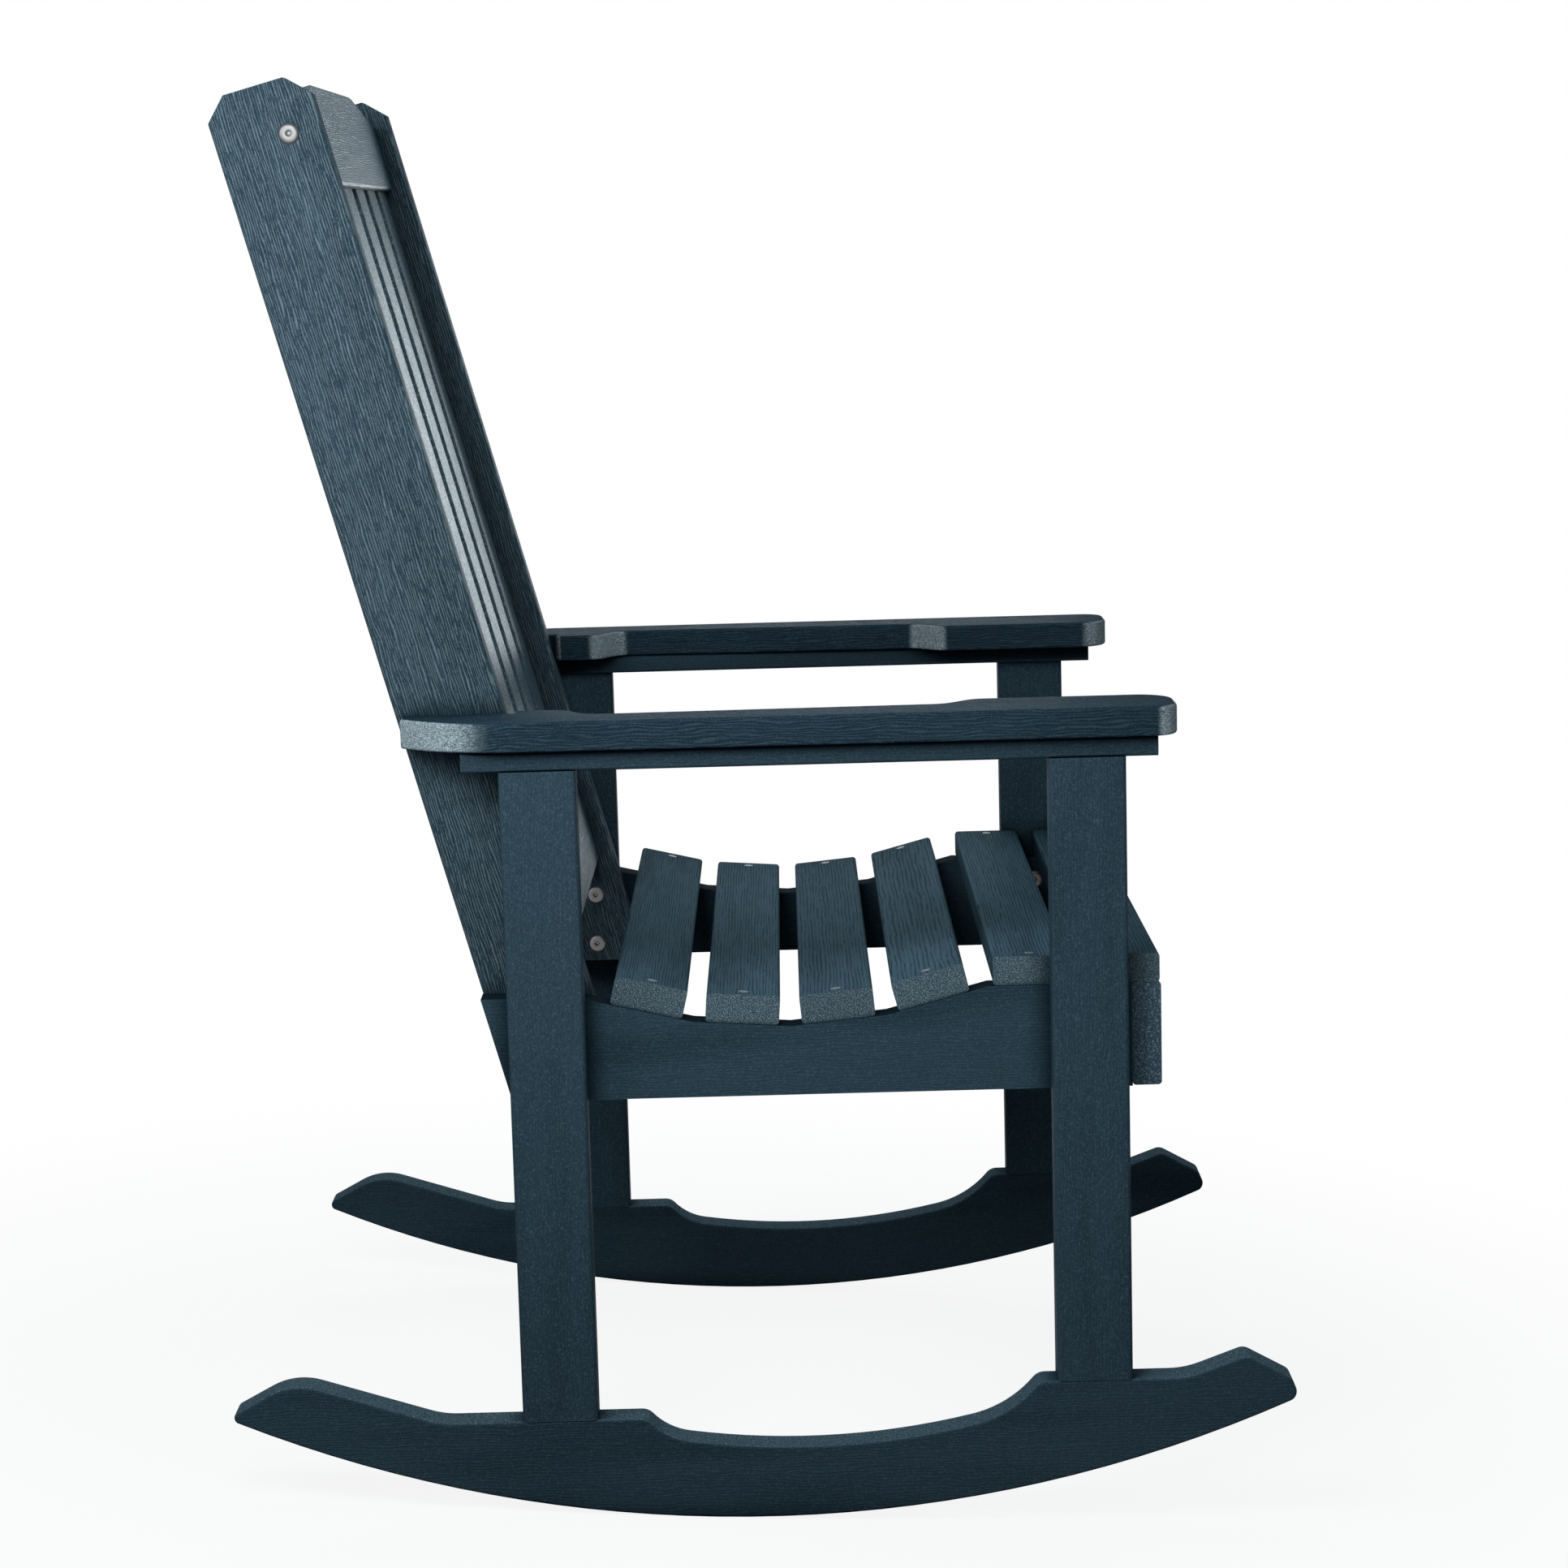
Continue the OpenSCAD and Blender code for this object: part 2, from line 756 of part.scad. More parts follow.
// A board between the stiles, with a groove that opens at its inner long edge
module cross_board(bottom, groove_bottom) {
    difference() {
        leaning()
            translate([cross_mid, bottom + board_w / 2, 0])
                crosswise(board_t, board_w, 2 * stile_in);
        leaning()
            translate([slat_rear - groove_gap, groove_bottom, -stile_in - over])
                cube([
                    back_slat_t + 2 * groove_gap,
                    groove_depth + over,
                    2 * (stile_in + over)
                ]);
        both_sides() cross_bolt_holes();
        pin_holes();
    }
}

module head_board() {
    slope = head_drop / (stile_in - head_flat_half);
    color(slate) difference() {
        cross_board(head_bottom, head_bottom - over);
        both_sides()
            leaning()
                translate([cross_rear - over, 0, 0])
                    rotate([0, 90, 0])
                        linear_extrude(board_t + 2 * over)
                            polygon([
                                [head_flat_half, stile_len],
                                [stile_in + over, stile_len - head_drop - over * slope],
                                [stile_in + over, stile_len + over],
                                [head_flat_half, stile_len + over]
                            ]);
    }
}

module lower_back_board() {
    color(slate) cross_board(lower_board_along, lower_top - groove_depth);
}

module back_slat(i) {
    color(slate) difference() {
        leaning()
            translate([(slat_front + slat_rear) / 2, slat_bottom, back_slat_places[i]])
                upright(back_slat_t, slat_w, slat_top - slat_bottom);
        pin_holes();
    }
}

// Hardware

module head_board_bolts() {
    color(steel) both_sides() at_cross_bolt(head_mid) button_bolt(cross_bolt_len);
}

module lower_board_bolts() {
    color(steel) both_sides() at_cross_bolt(lower_mid) button_bolt(cross_bolt_len);
}

module rear_frame_bolts() {
    color(steel) both_sides() at_rear_frame_bolts() button_bolt(bolt_through_frame);
}

module front_frame_bolts() {
    color(steel) both_sides() at_front_frame_bolts() button_bolt(bolt_through_rail);
}

module runner_bolts() {
    color(steel) both_sides() {
        at_runner_bolts(rear_leg_mid, rear_pad_up) button_bolt(runner_bolt_len);
        at_runner_bolts(front_leg_mid, front_pad_up) button_bolt(runner_bolt_len);
    }
}

module leg_top_screws() {
    color(steel) both_sides() {
        at_leg_top_screws(rear_leg_mid) screw(leg_screw_len);
        at_leg_top_screws(front_leg_mid) screw(leg_screw_len);
    }
}

module arm_screws() {
    color(steel) both_sides() at_arm_screws() screw(arm_screw_len);
}

module apron_screws() {
    color(steel) both_sides() at_apron_screws() screw(apron_screw_len);
}

module seat_slat_screws() {
    color(steel) both_sides()
        for (i = [0 : seat_slats - 1])
            at_slat_screw(i) screw(slat_screw_len);
}

module back_slat_screws() {
    color(steel)
        for (along = pin_alongs)
            at_pin_screws(along) screw(pin_screw_len, pin_screw_r, pin_head_r, pin_head_h);
}

// The part

posed() other_side() runner();  // runner_right
posed() runner();  // runner_left
posed() other_side() leg(rear_leg_mid, rear_pad_up);  // rear_leg_right
posed() leg(rear_leg_mid, rear_pad_up);  // rear_leg_left
posed() other_side() leg(front_leg_mid, front_pad_up);  // front_leg_right
posed() leg(front_leg_mid, front_pad_up);  // front_leg_left
posed() other_side() arm_support();  // arm_support_right
posed() arm_support();  // arm_support_left
posed() other_side() arm();  // arm_right
posed() arm();  // arm_left
posed() other_side() seat_rail();  // seat_rail_right
posed() seat_rail();  // seat_rail_left
posed() apron();  // seat_apron
posed() seat_slat(0);  // seat_slat_1
posed() seat_slat(1);  // seat_slat_2
posed() seat_slat(2);  // seat_slat_3
posed() seat_slat(3);  // seat_slat_4
posed() seat_slat(4);  // seat_slat_5
posed() seat_slat(5);  // seat_slat_6
posed() other_side() stile();  // back_stile_right
posed() stile();  // back_stile_left
posed() head_board();
posed() lower_back_board();
posed() back_slat(0);  // back_slat_1
posed() back_slat(1);  // back_slat_2
posed() back_slat(2);  // back_slat_3
posed() back_slat(3);  // back_slat_4
posed() back_slat(4);  // back_slat_5
posed() back_slat(5);  // back_slat_6
posed() head_board_bolts();
posed() lower_board_bolts();
posed() rear_frame_bolts();
posed() front_frame_bolts();
posed() runner_bolts();
posed() leg_top_screws();
posed() arm_screws();
posed() apron_screws();
posed() seat_slat_screws();
posed() back_slat_screws();
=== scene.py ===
"""Looks of the outdoor rocking chair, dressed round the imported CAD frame.

The chair is made of recycled plastic lumber boards and stainless fasteners. Straight
boards keep their CAD solids and get a finish whose grain runs along each board. The
runners and the arms, which are sawn to a curved outline, are made anew with eased edges,
and so are the button head bolts, each on its own washer.
"""

import logging
import math
from dataclasses import dataclass
from enum import Enum
from typing import Any, Callable, Iterable, Optional, Protocol

import bmesh
import bpy
from mathutils import Matrix, Vector


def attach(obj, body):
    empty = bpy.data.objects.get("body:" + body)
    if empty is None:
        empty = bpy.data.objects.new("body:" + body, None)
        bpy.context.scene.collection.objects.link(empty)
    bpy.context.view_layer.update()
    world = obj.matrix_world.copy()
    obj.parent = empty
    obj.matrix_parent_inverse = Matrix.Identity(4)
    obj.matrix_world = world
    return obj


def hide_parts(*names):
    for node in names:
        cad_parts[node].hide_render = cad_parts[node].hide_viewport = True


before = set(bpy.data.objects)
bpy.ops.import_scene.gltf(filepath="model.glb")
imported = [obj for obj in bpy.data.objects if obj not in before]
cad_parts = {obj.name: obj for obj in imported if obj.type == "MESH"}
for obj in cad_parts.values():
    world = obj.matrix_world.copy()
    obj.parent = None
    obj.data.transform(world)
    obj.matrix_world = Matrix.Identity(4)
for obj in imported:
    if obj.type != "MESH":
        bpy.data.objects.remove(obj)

LOG = logging.getLogger("rocking_chair")

Tree = bpy.types.NodeTree
Socket = bpy.types.NodeSocket
Pair = tuple[float, float]
Triple = tuple[float, float, float]

MM = 0.001
BODY = "root"
SIDES = ("right", "left")

REST_TILT = math.radians(3.04)
BACK_LEAN = math.radians(15.0)
SIDEWAYS = Vector((1.0, 0.0, 0.0))
FORWARD = Vector((0.0, -math.cos(REST_TILT), math.sin(REST_TILT)))
UPWARD = Vector((0.0, math.sin(REST_TILT), math.cos(REST_TILT)))

# A Mix node's inputs and outputs share their names, so they go by number.
MIX_SHARE, LEVEL_A, LEVEL_B, COLOUR_A, COLOUR_B = 0, 2, 3, 6, 7
LEVEL_MIXED, COLOUR_MIXED = 0, 2
COLOUR_MIX = {"data_type": "RGBA"}
LEVEL_MIX = {"data_type": "FLOAT"}
SOFT_MASK = {"interpolation_type": "SMOOTHSTEP"}

WHOLE_BAND = (0.0, 1.0)
CELL_ROUGHNESS = 0.55
# The rays that feel, at each point, for an edge, whose pale line is part wear and part painted
# highlight, and for a nook, which painted shade darkens.
FEELERS = {"samples": 6}

SAME_POINT_MM = 0.002
SAME_FACE = math.radians(0.15)
SHARP_EDGE = math.radians(32)
FULL_WEIGHT = 100


def linear(hex_colour: str) -> tuple[float, float, float, float]:
    """Turns an sRGB hex colour into the linear colour that a shader takes.

    Args:
        hex_colour: six hex digits with a leading hash.

    Returns:
        Linear red, green and blue, with full opacity.
    """
    digits = hex_colour.lstrip("#")
    channels = [int(digits[at:at + 2], 16) / 255.0 for at in (0, 2, 4)]
    curve = [c / 12.92 if c <= 0.04045 else ((c + 0.055) / 1.055) ** 2.4 for c in channels]
    return (curve[0], curve[1], curve[2], 1.0)


def add_node(
    tree: Tree,
    kind: str,
    settings: Optional[dict[str, Any]] = None,
    sockets: Optional[dict[Any, Any]] = None,
) -> bpy.types.Node:
    """Adds a node with its settings, and fills or links its inputs.

    Args:
        tree: the tree that takes the node.
        kind: the node's type name.
        settings: properties of the node itself.
        sockets: input name or number, with a value or the output that feeds it.

    Returns:
        The new node.
    """
    made = tree.nodes.new(kind)
    for name, value in (settings or {}).items():
        setattr(made, name, value)
    for key, value in (sockets or {}).items():
        if isinstance(value, Socket):
            tree.links.new(value, made.inputs[key])
        else:
            made.inputs[key].default_value = value
    return made


def plain_material(name: str) -> tuple[bpy.types.Material, Tree, bpy.types.Node]:
    """Makes a material that has only its Principled shader yet.

    Args:
        name: the material's name.

    Returns:
        The material, its tree and the shader.
    """
    material = bpy.data.materials.new(name)
    material.use_nodes = True
    return material, material.node_tree, material.node_tree.nodes["Principled BSDF"]


class Grain(Enum):
    """The way a board's length runs."""

    CROSSWISE = "crosswise"
    LENGTHWISE = "lengthwise"
    UPRIGHT = "upright"
    LEANING = "leaning"

    def turn(self) -> Matrix:
        """Gives the board's own axes: along the grain, across it, and square to both.

        Returns:
            A rotation whose columns are those three axes.
        """
        lean = REST_TILT + BACK_LEAN
        along, across = {
            Grain.CROSSWISE: (SIDEWAYS, FORWARD),
            Grain.LENGTHWISE: (FORWARD, SIDEWAYS),
            Grain.UPRIGHT: (UPWARD, SIDEWAYS),
            Grain.LEANING: (Vector((0.0, math.sin(lean), math.cos(lean))), SIDEWAYS),
        }[self]
        return Matrix((along, across, along.cross(across))).transposed()


class Cut(Enum):
    """Which faces of a board show the foamed core that a saw lays open.

    Each value is a band: how squarely a face looks along an axis, as a cosine, where the
    core starts to show and where it shows in full. The axis is the board's length, or for
    an outline the chair's width, along which the moulded faces look.
    """

    ENDS = (0.80, 0.95)
    ROUNDED_END = (0.10, 0.40)
    OUTLINE = (0.80, 0.45)


@dataclass(frozen=True)
class BoardPatterns:
    """The patterns that a board's colour, relief and gloss share, as outputs of nodes."""

    cloud: Socket
    crest: Socket
    crack: Socket
    speck: Socket
    pore: Socket
    swirl: Socket
    sawn: Socket


@dataclass(frozen=True)
class LumberFinish:
    """Foamed recycled polyethylene board, drawn through a die and embossed with grain.

    The eye gets a waxy half-matt slate blue skin with wandering rows of short raised
    strokes and dark furrows, a dusty speckle, a pale line along each edge that is part wear
    and part painted highlight, painted shade in the nooks where boards meet, and sawn faces
    with a pale pored core.

    A pair of sizes in mm is a pattern's cell, along the grain and across it. A band is the
    level of its pattern at which a mask starts and the level at which it is full, and a
    share is how much of its colour a full mask lays on.
    """

    name: str
    grain: Grain
    cut: Cut = Cut.ENDS

    skin: str = "#334651"
    # The dark colour of furrows, specks and clouds, and also of the painted shade in nooks.
    dark_and_painted_shade: str = "#0c1a22"
    pale: str = "#6d808a"
    core: str = "#2f444f"
    core_pale: str = "#859ba6"
    # A pale line along each edge, part wear and part painted highlight.
    edge: str = "#456070"

    # The embossing roller leaves rows 2 to 3 mm apart, broken into strokes 10 to 50 mm long.
    row_mm: Pair = (45.0, 2.6)
    gap_mm: Pair = (14.0, 3.0)
    drift_rows: float = 4.0
    wander: float = 4.0
    crest_rows: Pair = (0.26, 0.42)
    crest_gaps: Pair = (0.36, 0.50)
    crest_share: float = 0.04
    crack_rows: Pair = (0.15, 0.04)
    crack_gaps: Pair = (0.62, 0.48)
    crack_share: float = 0.06

    # The pigment clouds slowly along the length of the board.
    cloud_mm: Pair = (380.0, 60.0)
    cloud_band: Pair = (0.60, 0.30)
    cloud_share: float = 0.35

    # The real speckle and pores are about 0.3 mm, too fine to show, so they are drawn at
    # about 1 mm or more.
    speck_mm: Pair = (1.4, 1.0)
    speck_light: Pair = (0.54, 0.72)
    speck_dark: Pair = (0.46, 0.30)
    speck_share: float = 0.22
    pore_mm: Pair = (0.9, 0.9)
    pore_light: Pair = (0.48, 0.72)
    pore_light_share: float = 0.8
    pore_dark: Pair = (0.46, 0.30)
    pore_dark_share: float = 0.7

    # The foam flows into folded swirls, which the saw lays open as pale lines.
    swirl_mm: Pair = (5.0, 3.0)
    swirl_fold: float = 0.06
    swirl_band: Pair = (0.030, 0.056)
    swirl_share: float = 0.25

    # How wide the pale line on an edge is, which is part wear and part painted highlight, how
    # far the painted shade of a neighbour reaches into a nook, and how the tone of the boards
    # differs.
    edge_mm: float = 1.4
    edge_wear_and_highlight_band: Pair = (0.985, 0.82)
    edge_wear_and_highlight_share: float = 0.5
    painted_shade_reach_mm: float = 24.0
    painted_shade_band: Pair = (0.95, 0.45)
    painted_shade_share: float = 0.80
    batch_tone: Pair = (0.92, 1.08)

    # How high the strokes stand, and how waxy the skin and how dry the core are.
    relief_mm: float = 0.10
    speck_relief: float = 0.5
    roughness: float = 0.50
    roughness_swing: float = 0.08
    swing_band: Pair = (0.3, 0.7)
    sawn_roughness: float = 0.8
    ior: float = 1.5
    gloss_level: float = 0.004

    def _cells(
        self, tree: Tree, place: Socket, size_mm: Pair, detail: float = 2.0, wave: float = 0.0
    ) -> Socket:
        """Makes a pattern of soft cells that lie along the grain.

        Args:
            tree: the material's tree.
            place: the object coordinates.
            size_mm: a cell's length along the grain and its width across it.
            detail: how many finer layers the pattern has.
            wave: how far the cells are bent.

        Returns:
            The pattern's level, about 0.3 to 0.7.
        """
        board = add_node(tree, "ShaderNodeMapping", {"vector_type": "TEXTURE"}, {
            "Vector": place,
            "Rotation": self.grain.turn().to_euler(),
            "Scale": (size_mm[0] * MM, size_mm[1] * MM, size_mm[1] * MM),
        })
        noise = add_node(tree, "ShaderNodeTexNoise", None, {
            "Vector": board.outputs["Vector"],
            "Scale": 1.0,
            "Detail": detail,
            "Roughness": CELL_ROUGHNESS,
            "Distortion": wave,
        })
        return noise.outputs["Fac"]

    def _rows(self, tree: Tree, place: Socket) -> Socket:
        """Makes the embossed rows, which wander as they run along the board.

        Args:
            tree: the material's tree.
            place: the object coordinates.

        Returns:
            0 in the furrows and 0.5 on the crests.
        """
        length, pitch = self.row_mm
        board = add_node(tree, "ShaderNodeMapping", {"vector_type": "TEXTURE"}, {
            "Vector": place,
            "Rotation": self.grain.turn().to_euler(),
            "Scale": (length * MM, pitch * MM, pitch * MM),
        })
        parts = add_node(tree, "ShaderNodeSeparateXYZ", None, {0: board.outputs["Vector"]})
        across = add_node(tree, "ShaderNodeMath", {"operation": "ADD"}, {
            0: parts.outputs["Y"], 1: parts.outputs["Z"],
        })
        phase = add_node(tree, "ShaderNodeMath", {"operation": "MULTIPLY_ADD"}, {
            0: self._cells(tree, place, (length, self.drift_rows * pitch)),
            1: self.wander,
            2: across.outputs["Value"],
        })
        rows = add_node(tree, "ShaderNodeMath", {"operation": "PINGPONG"}, {
            0: phase.outputs["Value"], 1: 0.5,
        })
        return rows.outputs["Value"]

    def _strokes(
        self, tree: Tree, rows: Socket, row_band: Pair, gaps: Socket, gap_band: Pair
    ) -> Socket:
        """Takes one side of the rows, crests or furrows, and breaks it into strokes.

        Args:
            tree: the material's tree.
            rows: the embossed rows.
            row_band: which side of the rows is taken.
            gaps: the pattern that breaks them.
            gap_band: where it leaves them whole.

        Returns:
            1 on a stroke and 0 beside it.
        """
        row, whole = [
            add_node(tree, "ShaderNodeMapRange", SOFT_MASK, {
                "Value": pattern, "From Min": band[0], "From Max": band[1],
            })
            for pattern, band in ((rows, row_band), (gaps, gap_band))
        ]
        strokes = add_node(tree, "ShaderNodeMath", {"operation": "MULTIPLY"}, {
            0: row.outputs["Result"], 1: whole.outputs["Result"],
        })
        return strokes.outputs["Value"]

    def _sawn(self, tree: Tree, facing: Socket) -> Socket:
        """Finds the faces that the saw cut, from the way they face.

        Args:
            tree: the material's tree.
            facing: the surface normal.

        Returns:
            1 on sawn faces and 0 on moulded ones.
        """
        axis = SIDEWAYS if self.cut is Cut.OUTLINE else self.grain.turn().col[0]
        along = add_node(tree, "ShaderNodeVectorMath", {"operation": "DOT_PRODUCT"}, {
            0: facing, 1: tuple(axis),
        })
        square = add_node(tree, "ShaderNodeMath", {"operation": "ABSOLUTE"}, {
            0: along.outputs["Value"],
        })
        start, full = self.cut.value
        mask = add_node(tree, "ShaderNodeMapRange", SOFT_MASK, {
            "Value": square.outputs["Value"], "From Min": start, "From Max": full,
        })
        return mask.outputs["Result"]

    def _patterns(self, tree: Tree) -> BoardPatterns:
        """Makes every pattern of the board.

        Args:
            tree: the material's tree.

        Returns:
            The patterns.
        """
        coords = add_node(tree, "ShaderNodeTexCoord")
        place = coords.outputs["Object"]
        rows = self._rows(tree, place)
        gaps = self._cells(tree, place, self.gap_mm, wave=0.5)
        return BoardPatterns(
            cloud=self._cells(tree, place, self.cloud_mm, wave=0.3),
            crest=self._strokes(tree, rows, self.crest_rows, gaps, self.crest_gaps),
            crack=self._strokes(tree, rows, self.crack_rows, gaps, self.crack_gaps),
            speck=self._cells(tree, place, self.speck_mm),
            pore=self._cells(tree, place, self.pore_mm, detail=3.0),
            swirl=self._cells(tree, place, self.swirl_mm, wave=2.2),
            sawn=self._sawn(tree, coords.outputs["Normal"]),
        )

    def _coat(
        self, tree: Tree, ground: Any, colour: str, pattern: Socket, band: Pair, share: float
    ) -> Socket:
        """Lays a colour on the ground where a pattern comes into its band.

        Args:
            tree: the material's tree.
            ground: the colour beneath.
            colour: the hex colour that is laid on.
            pattern: the pattern that says where.
            band: where the coat starts and where it is full.
            share: how much of the colour a full coat has.

        Returns:
            The coated colour.
        """
        mask = add_node(tree, "ShaderNodeMapRange", SOFT_MASK, {
            "Value": pattern, "From Min": band[0], "From Max": band[1], "To Max": share,
        })
        coated = add_node(tree, "ShaderNodeMix", COLOUR_MIX, {
            MIX_SHARE: mask.outputs["Result"], COLOUR_A: ground, COLOUR_B: linear(colour),
        })
        return coated.outputs[COLOUR_MIXED]

    def _skin(self, tree: Tree, seen: BoardPatterns) -> Socket:
        """Colours the moulded skin: clouds, raised strokes, furrows and speckle.

        Args:
            tree: the material's tree.
            seen: the board's patterns.

        Returns:
            The skin's colour.
        """
        colour: Any = linear(self.skin)
        for coat in (
            (self.dark_and_painted_shade, seen.cloud, self.cloud_band, self.cloud_share),
            (self.pale, seen.crest, WHOLE_BAND, self.crest_share),
            (self.dark_and_painted_shade, seen.crack, WHOLE_BAND, self.crack_share),
            (self.pale, seen.speck, self.speck_light, self.speck_share),
            (self.dark_and_painted_shade, seen.speck, self.speck_dark, self.speck_share),
        ):
            colour = self._coat(tree, colour, *coat)
        return colour

    def _core(self, tree: Tree, seen: BoardPatterns) -> Socket:
        """Colours the sawn core: light and dark pores, and pale swirls.

        Args:
            tree: the material's tree.
            seen: the board's patterns.

        Returns:
            The core's colour.
        """
        folds = add_node(tree, "ShaderNodeMath", {"operation": "PINGPONG"}, {
            0: seen.swirl, 1: self.swirl_fold,
        })
        colour: Any = linear(self.core)
        for coat in (
            (self.core_pale, seen.pore, self.pore_light, self.pore_light_share),
            (self.dark_and_painted_shade, seen.pore, self.pore_dark, self.pore_dark_share),
            (self.core_pale, folds.outputs["Value"], self.swirl_band, self.swirl_share),
        ):
            colour = self._coat(tree, colour, *coat)
        return colour

    def _edges_painted_shade_and_tone(self, tree: Tree, colour: Socket) -> Socket:
        """Adds pale edges, part wear and part painted highlight, painted shade in nooks, and a
        tone for each board.

        Args:
            tree: the material's tree.
            colour: the board's colour when new.

        Returns:
            The colour seen.
        """
        # The pale line along each edge is part wear and part painted highlight.
        softened = add_node(tree, "ShaderNodeBevel", FEELERS, {"Radius": self.edge_mm * MM})
        exact = add_node(tree, "ShaderNodeNewGeometry")
        flat = add_node(tree, "ShaderNodeVectorMath", {"operation": "DOT_PRODUCT"}, {
            0: softened.outputs["Normal"], 1: exact.outputs["Normal"],
        })
        # Painted shade: the board darkens where its neighbours stand close.
        painted_nook_shade = add_node(tree, "ShaderNodeAmbientOcclusion", FEELERS, {
            "Distance": self.painted_shade_reach_mm * MM,
        })
        for coat in (
            (self.edge, flat.outputs["Value"], self.edge_wear_and_highlight_band, self.edge_wear_and_highlight_share),
            (self.dark_and_painted_shade, painted_nook_shade.outputs["AO"], self.painted_shade_band, self.painted_shade_share),
        ):
            colour = self._coat(tree, colour, *coat)
        board = add_node(tree, "ShaderNodeObjectInfo")
        tone = add_node(tree, "ShaderNodeMapRange", None, {
            "Value": board.outputs["Random"],
            "To Min": self.batch_tone[0],
            "To Max": self.batch_tone[1],
        })
        toned = add_node(tree, "ShaderNodeHueSaturation", None, {
            "Value": tone.outputs["Result"], "Color": colour,
        })
        return toned.outputs["Color"]

    def _relief(self, tree: Tree, seen: BoardPatterns) -> Socket:
        """Raises the strokes and the grit of the skin, and the pores of the core.

        Args:
            tree: the material's tree.
            seen: the board's patterns.

        Returns:
            The bumped normal.
        """
        strokes = add_node(tree, "ShaderNodeMath", {"operation": "SUBTRACT"}, {
            0: seen.crest, 1: seen.crack,
        })
        gritty = add_node(tree, "ShaderNodeMath", {"operation": "MULTIPLY_ADD"}, {
            0: seen.speck, 1: self.speck_relief, 2: strokes.outputs["Value"],
        })
        height = add_node(tree, "ShaderNodeMix", LEVEL_MIX, {
            MIX_SHARE: seen.sawn, LEVEL_A: gritty.outputs["Value"], LEVEL_B: seen.pore,
        })
        bump = add_node(tree, "ShaderNodeBump", None, {
            "Strength": 1.0,
            "Distance": self.relief_mm * MM,
            "Height": height.outputs[LEVEL_MIXED],
        })
        return bump.outputs["Normal"]

    def _dryness(self, tree: Tree, seen: BoardPatterns) -> Socket:
        """Makes the skin half-matt with duller grit, and the core dry.

        Args:
            tree: the material's tree.
            seen: the board's patterns.

        Returns:
            The roughness.
        """
        skin = add_node(tree, "ShaderNodeMapRange", None, {
            "Value": seen.speck,
            "From Min": self.swing_band[0],
            "From Max": self.swing_band[1],
            "To Min": self.roughness + self.roughness_swing,
            "To Max": self.roughness - self.roughness_swing,
        })
        board = add_node(tree, "ShaderNodeMix", LEVEL_MIX, {
            MIX_SHARE: seen.sawn, LEVEL_A: skin.outputs["Result"], LEVEL_B: self.sawn_roughness,
        })
        return board.outputs[LEVEL_MIXED]

    def make(self) -> bpy.types.Material:
        """Builds the material.

        Returns:
            The finished material.
        """
        material, tree, shader = plain_material(self.name)
        seen = self._patterns(tree)
        board = add_node(tree, "ShaderNodeMix", COLOUR_MIX, {
            MIX_SHARE: seen.sawn,
            COLOUR_A: self._skin(tree, seen),
            COLOUR_B: self._core(tree, seen),
        })
        colour = self._edges_painted_shade_and_tone(tree, board.outputs[COLOUR_MIXED])
        tree.links.new(colour, shader.inputs["Base Color"])
        tree.links.new(self._relief(tree, seen), shader.inputs["Normal"])
        tree.links.new(self._dryness(tree, seen), shader.inputs["Roughness"])
        shader.inputs["IOR"].default_value = self.ior
        shader.inputs["Specular IOR Level"].default_value = self.gloss_level
        return material


# Smooth stock. The saw has gone all round its outline, so the sweeps show the core.
RUNNER_LUMBER = LumberFinish("recycled_lumber_runner", Grain.LENGTHWISE, Cut.OUTLINE)

# Deep strokes along a broad dark board, with chalky scratched cores on its rounded ends.
ARM_LUMBER = LumberFinish(
    "recycled_lumber_arm", Grain.LENGTHWISE, Cut.ROUNDED_END,
    skin="#283a46", core="#3a4e58", core_pale="#d3dde1",
    crest_share=0.12, crack_share=0.36, pore_mm=(5.0, 0.9),
    swirl_mm=(8.0, 2.0), swirl_share=1.0, relief_mm=0.22, gloss_level=0.001,
)

# Thick stock with a dustier speckle.
LEG_LUMBER = LumberFinish("recycled_lumber_leg", Grain.UPRIGHT, speck_share=0.32)

# Thin strips with painted shadow, nearly black right under the arms where their shade falls.
SUPPORT_LUMBER = LumberFinish(
    "recycled_lumber_support", Grain.LENGTHWISE,
    dark_and_painted_shade="#070f14", painted_shade_reach_mm=32.0, painted_shade_band=(0.99, 0.72), painted_shade_share=1.0,
)

# Smooth boards whose sawn faces carry painted shade, so the sawn upper edge stays dark
# between the ends of the slats.
RAIL_LUMBER = LumberFinish(
    "recycled_lumber_rail", Grain.LENGTHWISE, Cut.OUTLINE, core="#0f1b22", core_pale="#2a3b45",
)

# Close, pale and strong strokes up the leaning stile.
STILE_LUMBER = LumberFinish(
    "recycled_lumber_stile", Grain.LEANING,
    skin="#384a54", pale="#7f8d94", row_mm=(50.0, 2.1), gap_mm=(13.0, 2.2), wander=3.2,
    crest_share=0.46, crack_share=0.50, relief_mm=0.24,
)

# A coarse glossy grit that glints where the light grazes the back.
BACK_SLAT_LUMBER = LumberFinish(
    "recycled_lumber_back_slat", Grain.LEANING,
    crest_share=0.10, speck_mm=(2.2, 2.8), speck_share=0.55,
    relief_mm=0.45, roughness=0.43, gloss_level=0.12,
)

# Long straight furrows across a paler seat, with pale salt and pepper ends.
SEAT_SLAT_LUMBER = LumberFinish(
    "recycled_lumber_seat_slat", Grain.CROSSWISE,
    skin="#3e5865", core_pale="#a9b8bf", row_mm=(80.0, 2.7), gap_mm=(50.0, 5.0), wander=1.8,
    crest_share=0.15, crack_share=0.70, relief_mm=0.22, roughness=0.60, gloss_level=0.001,
)

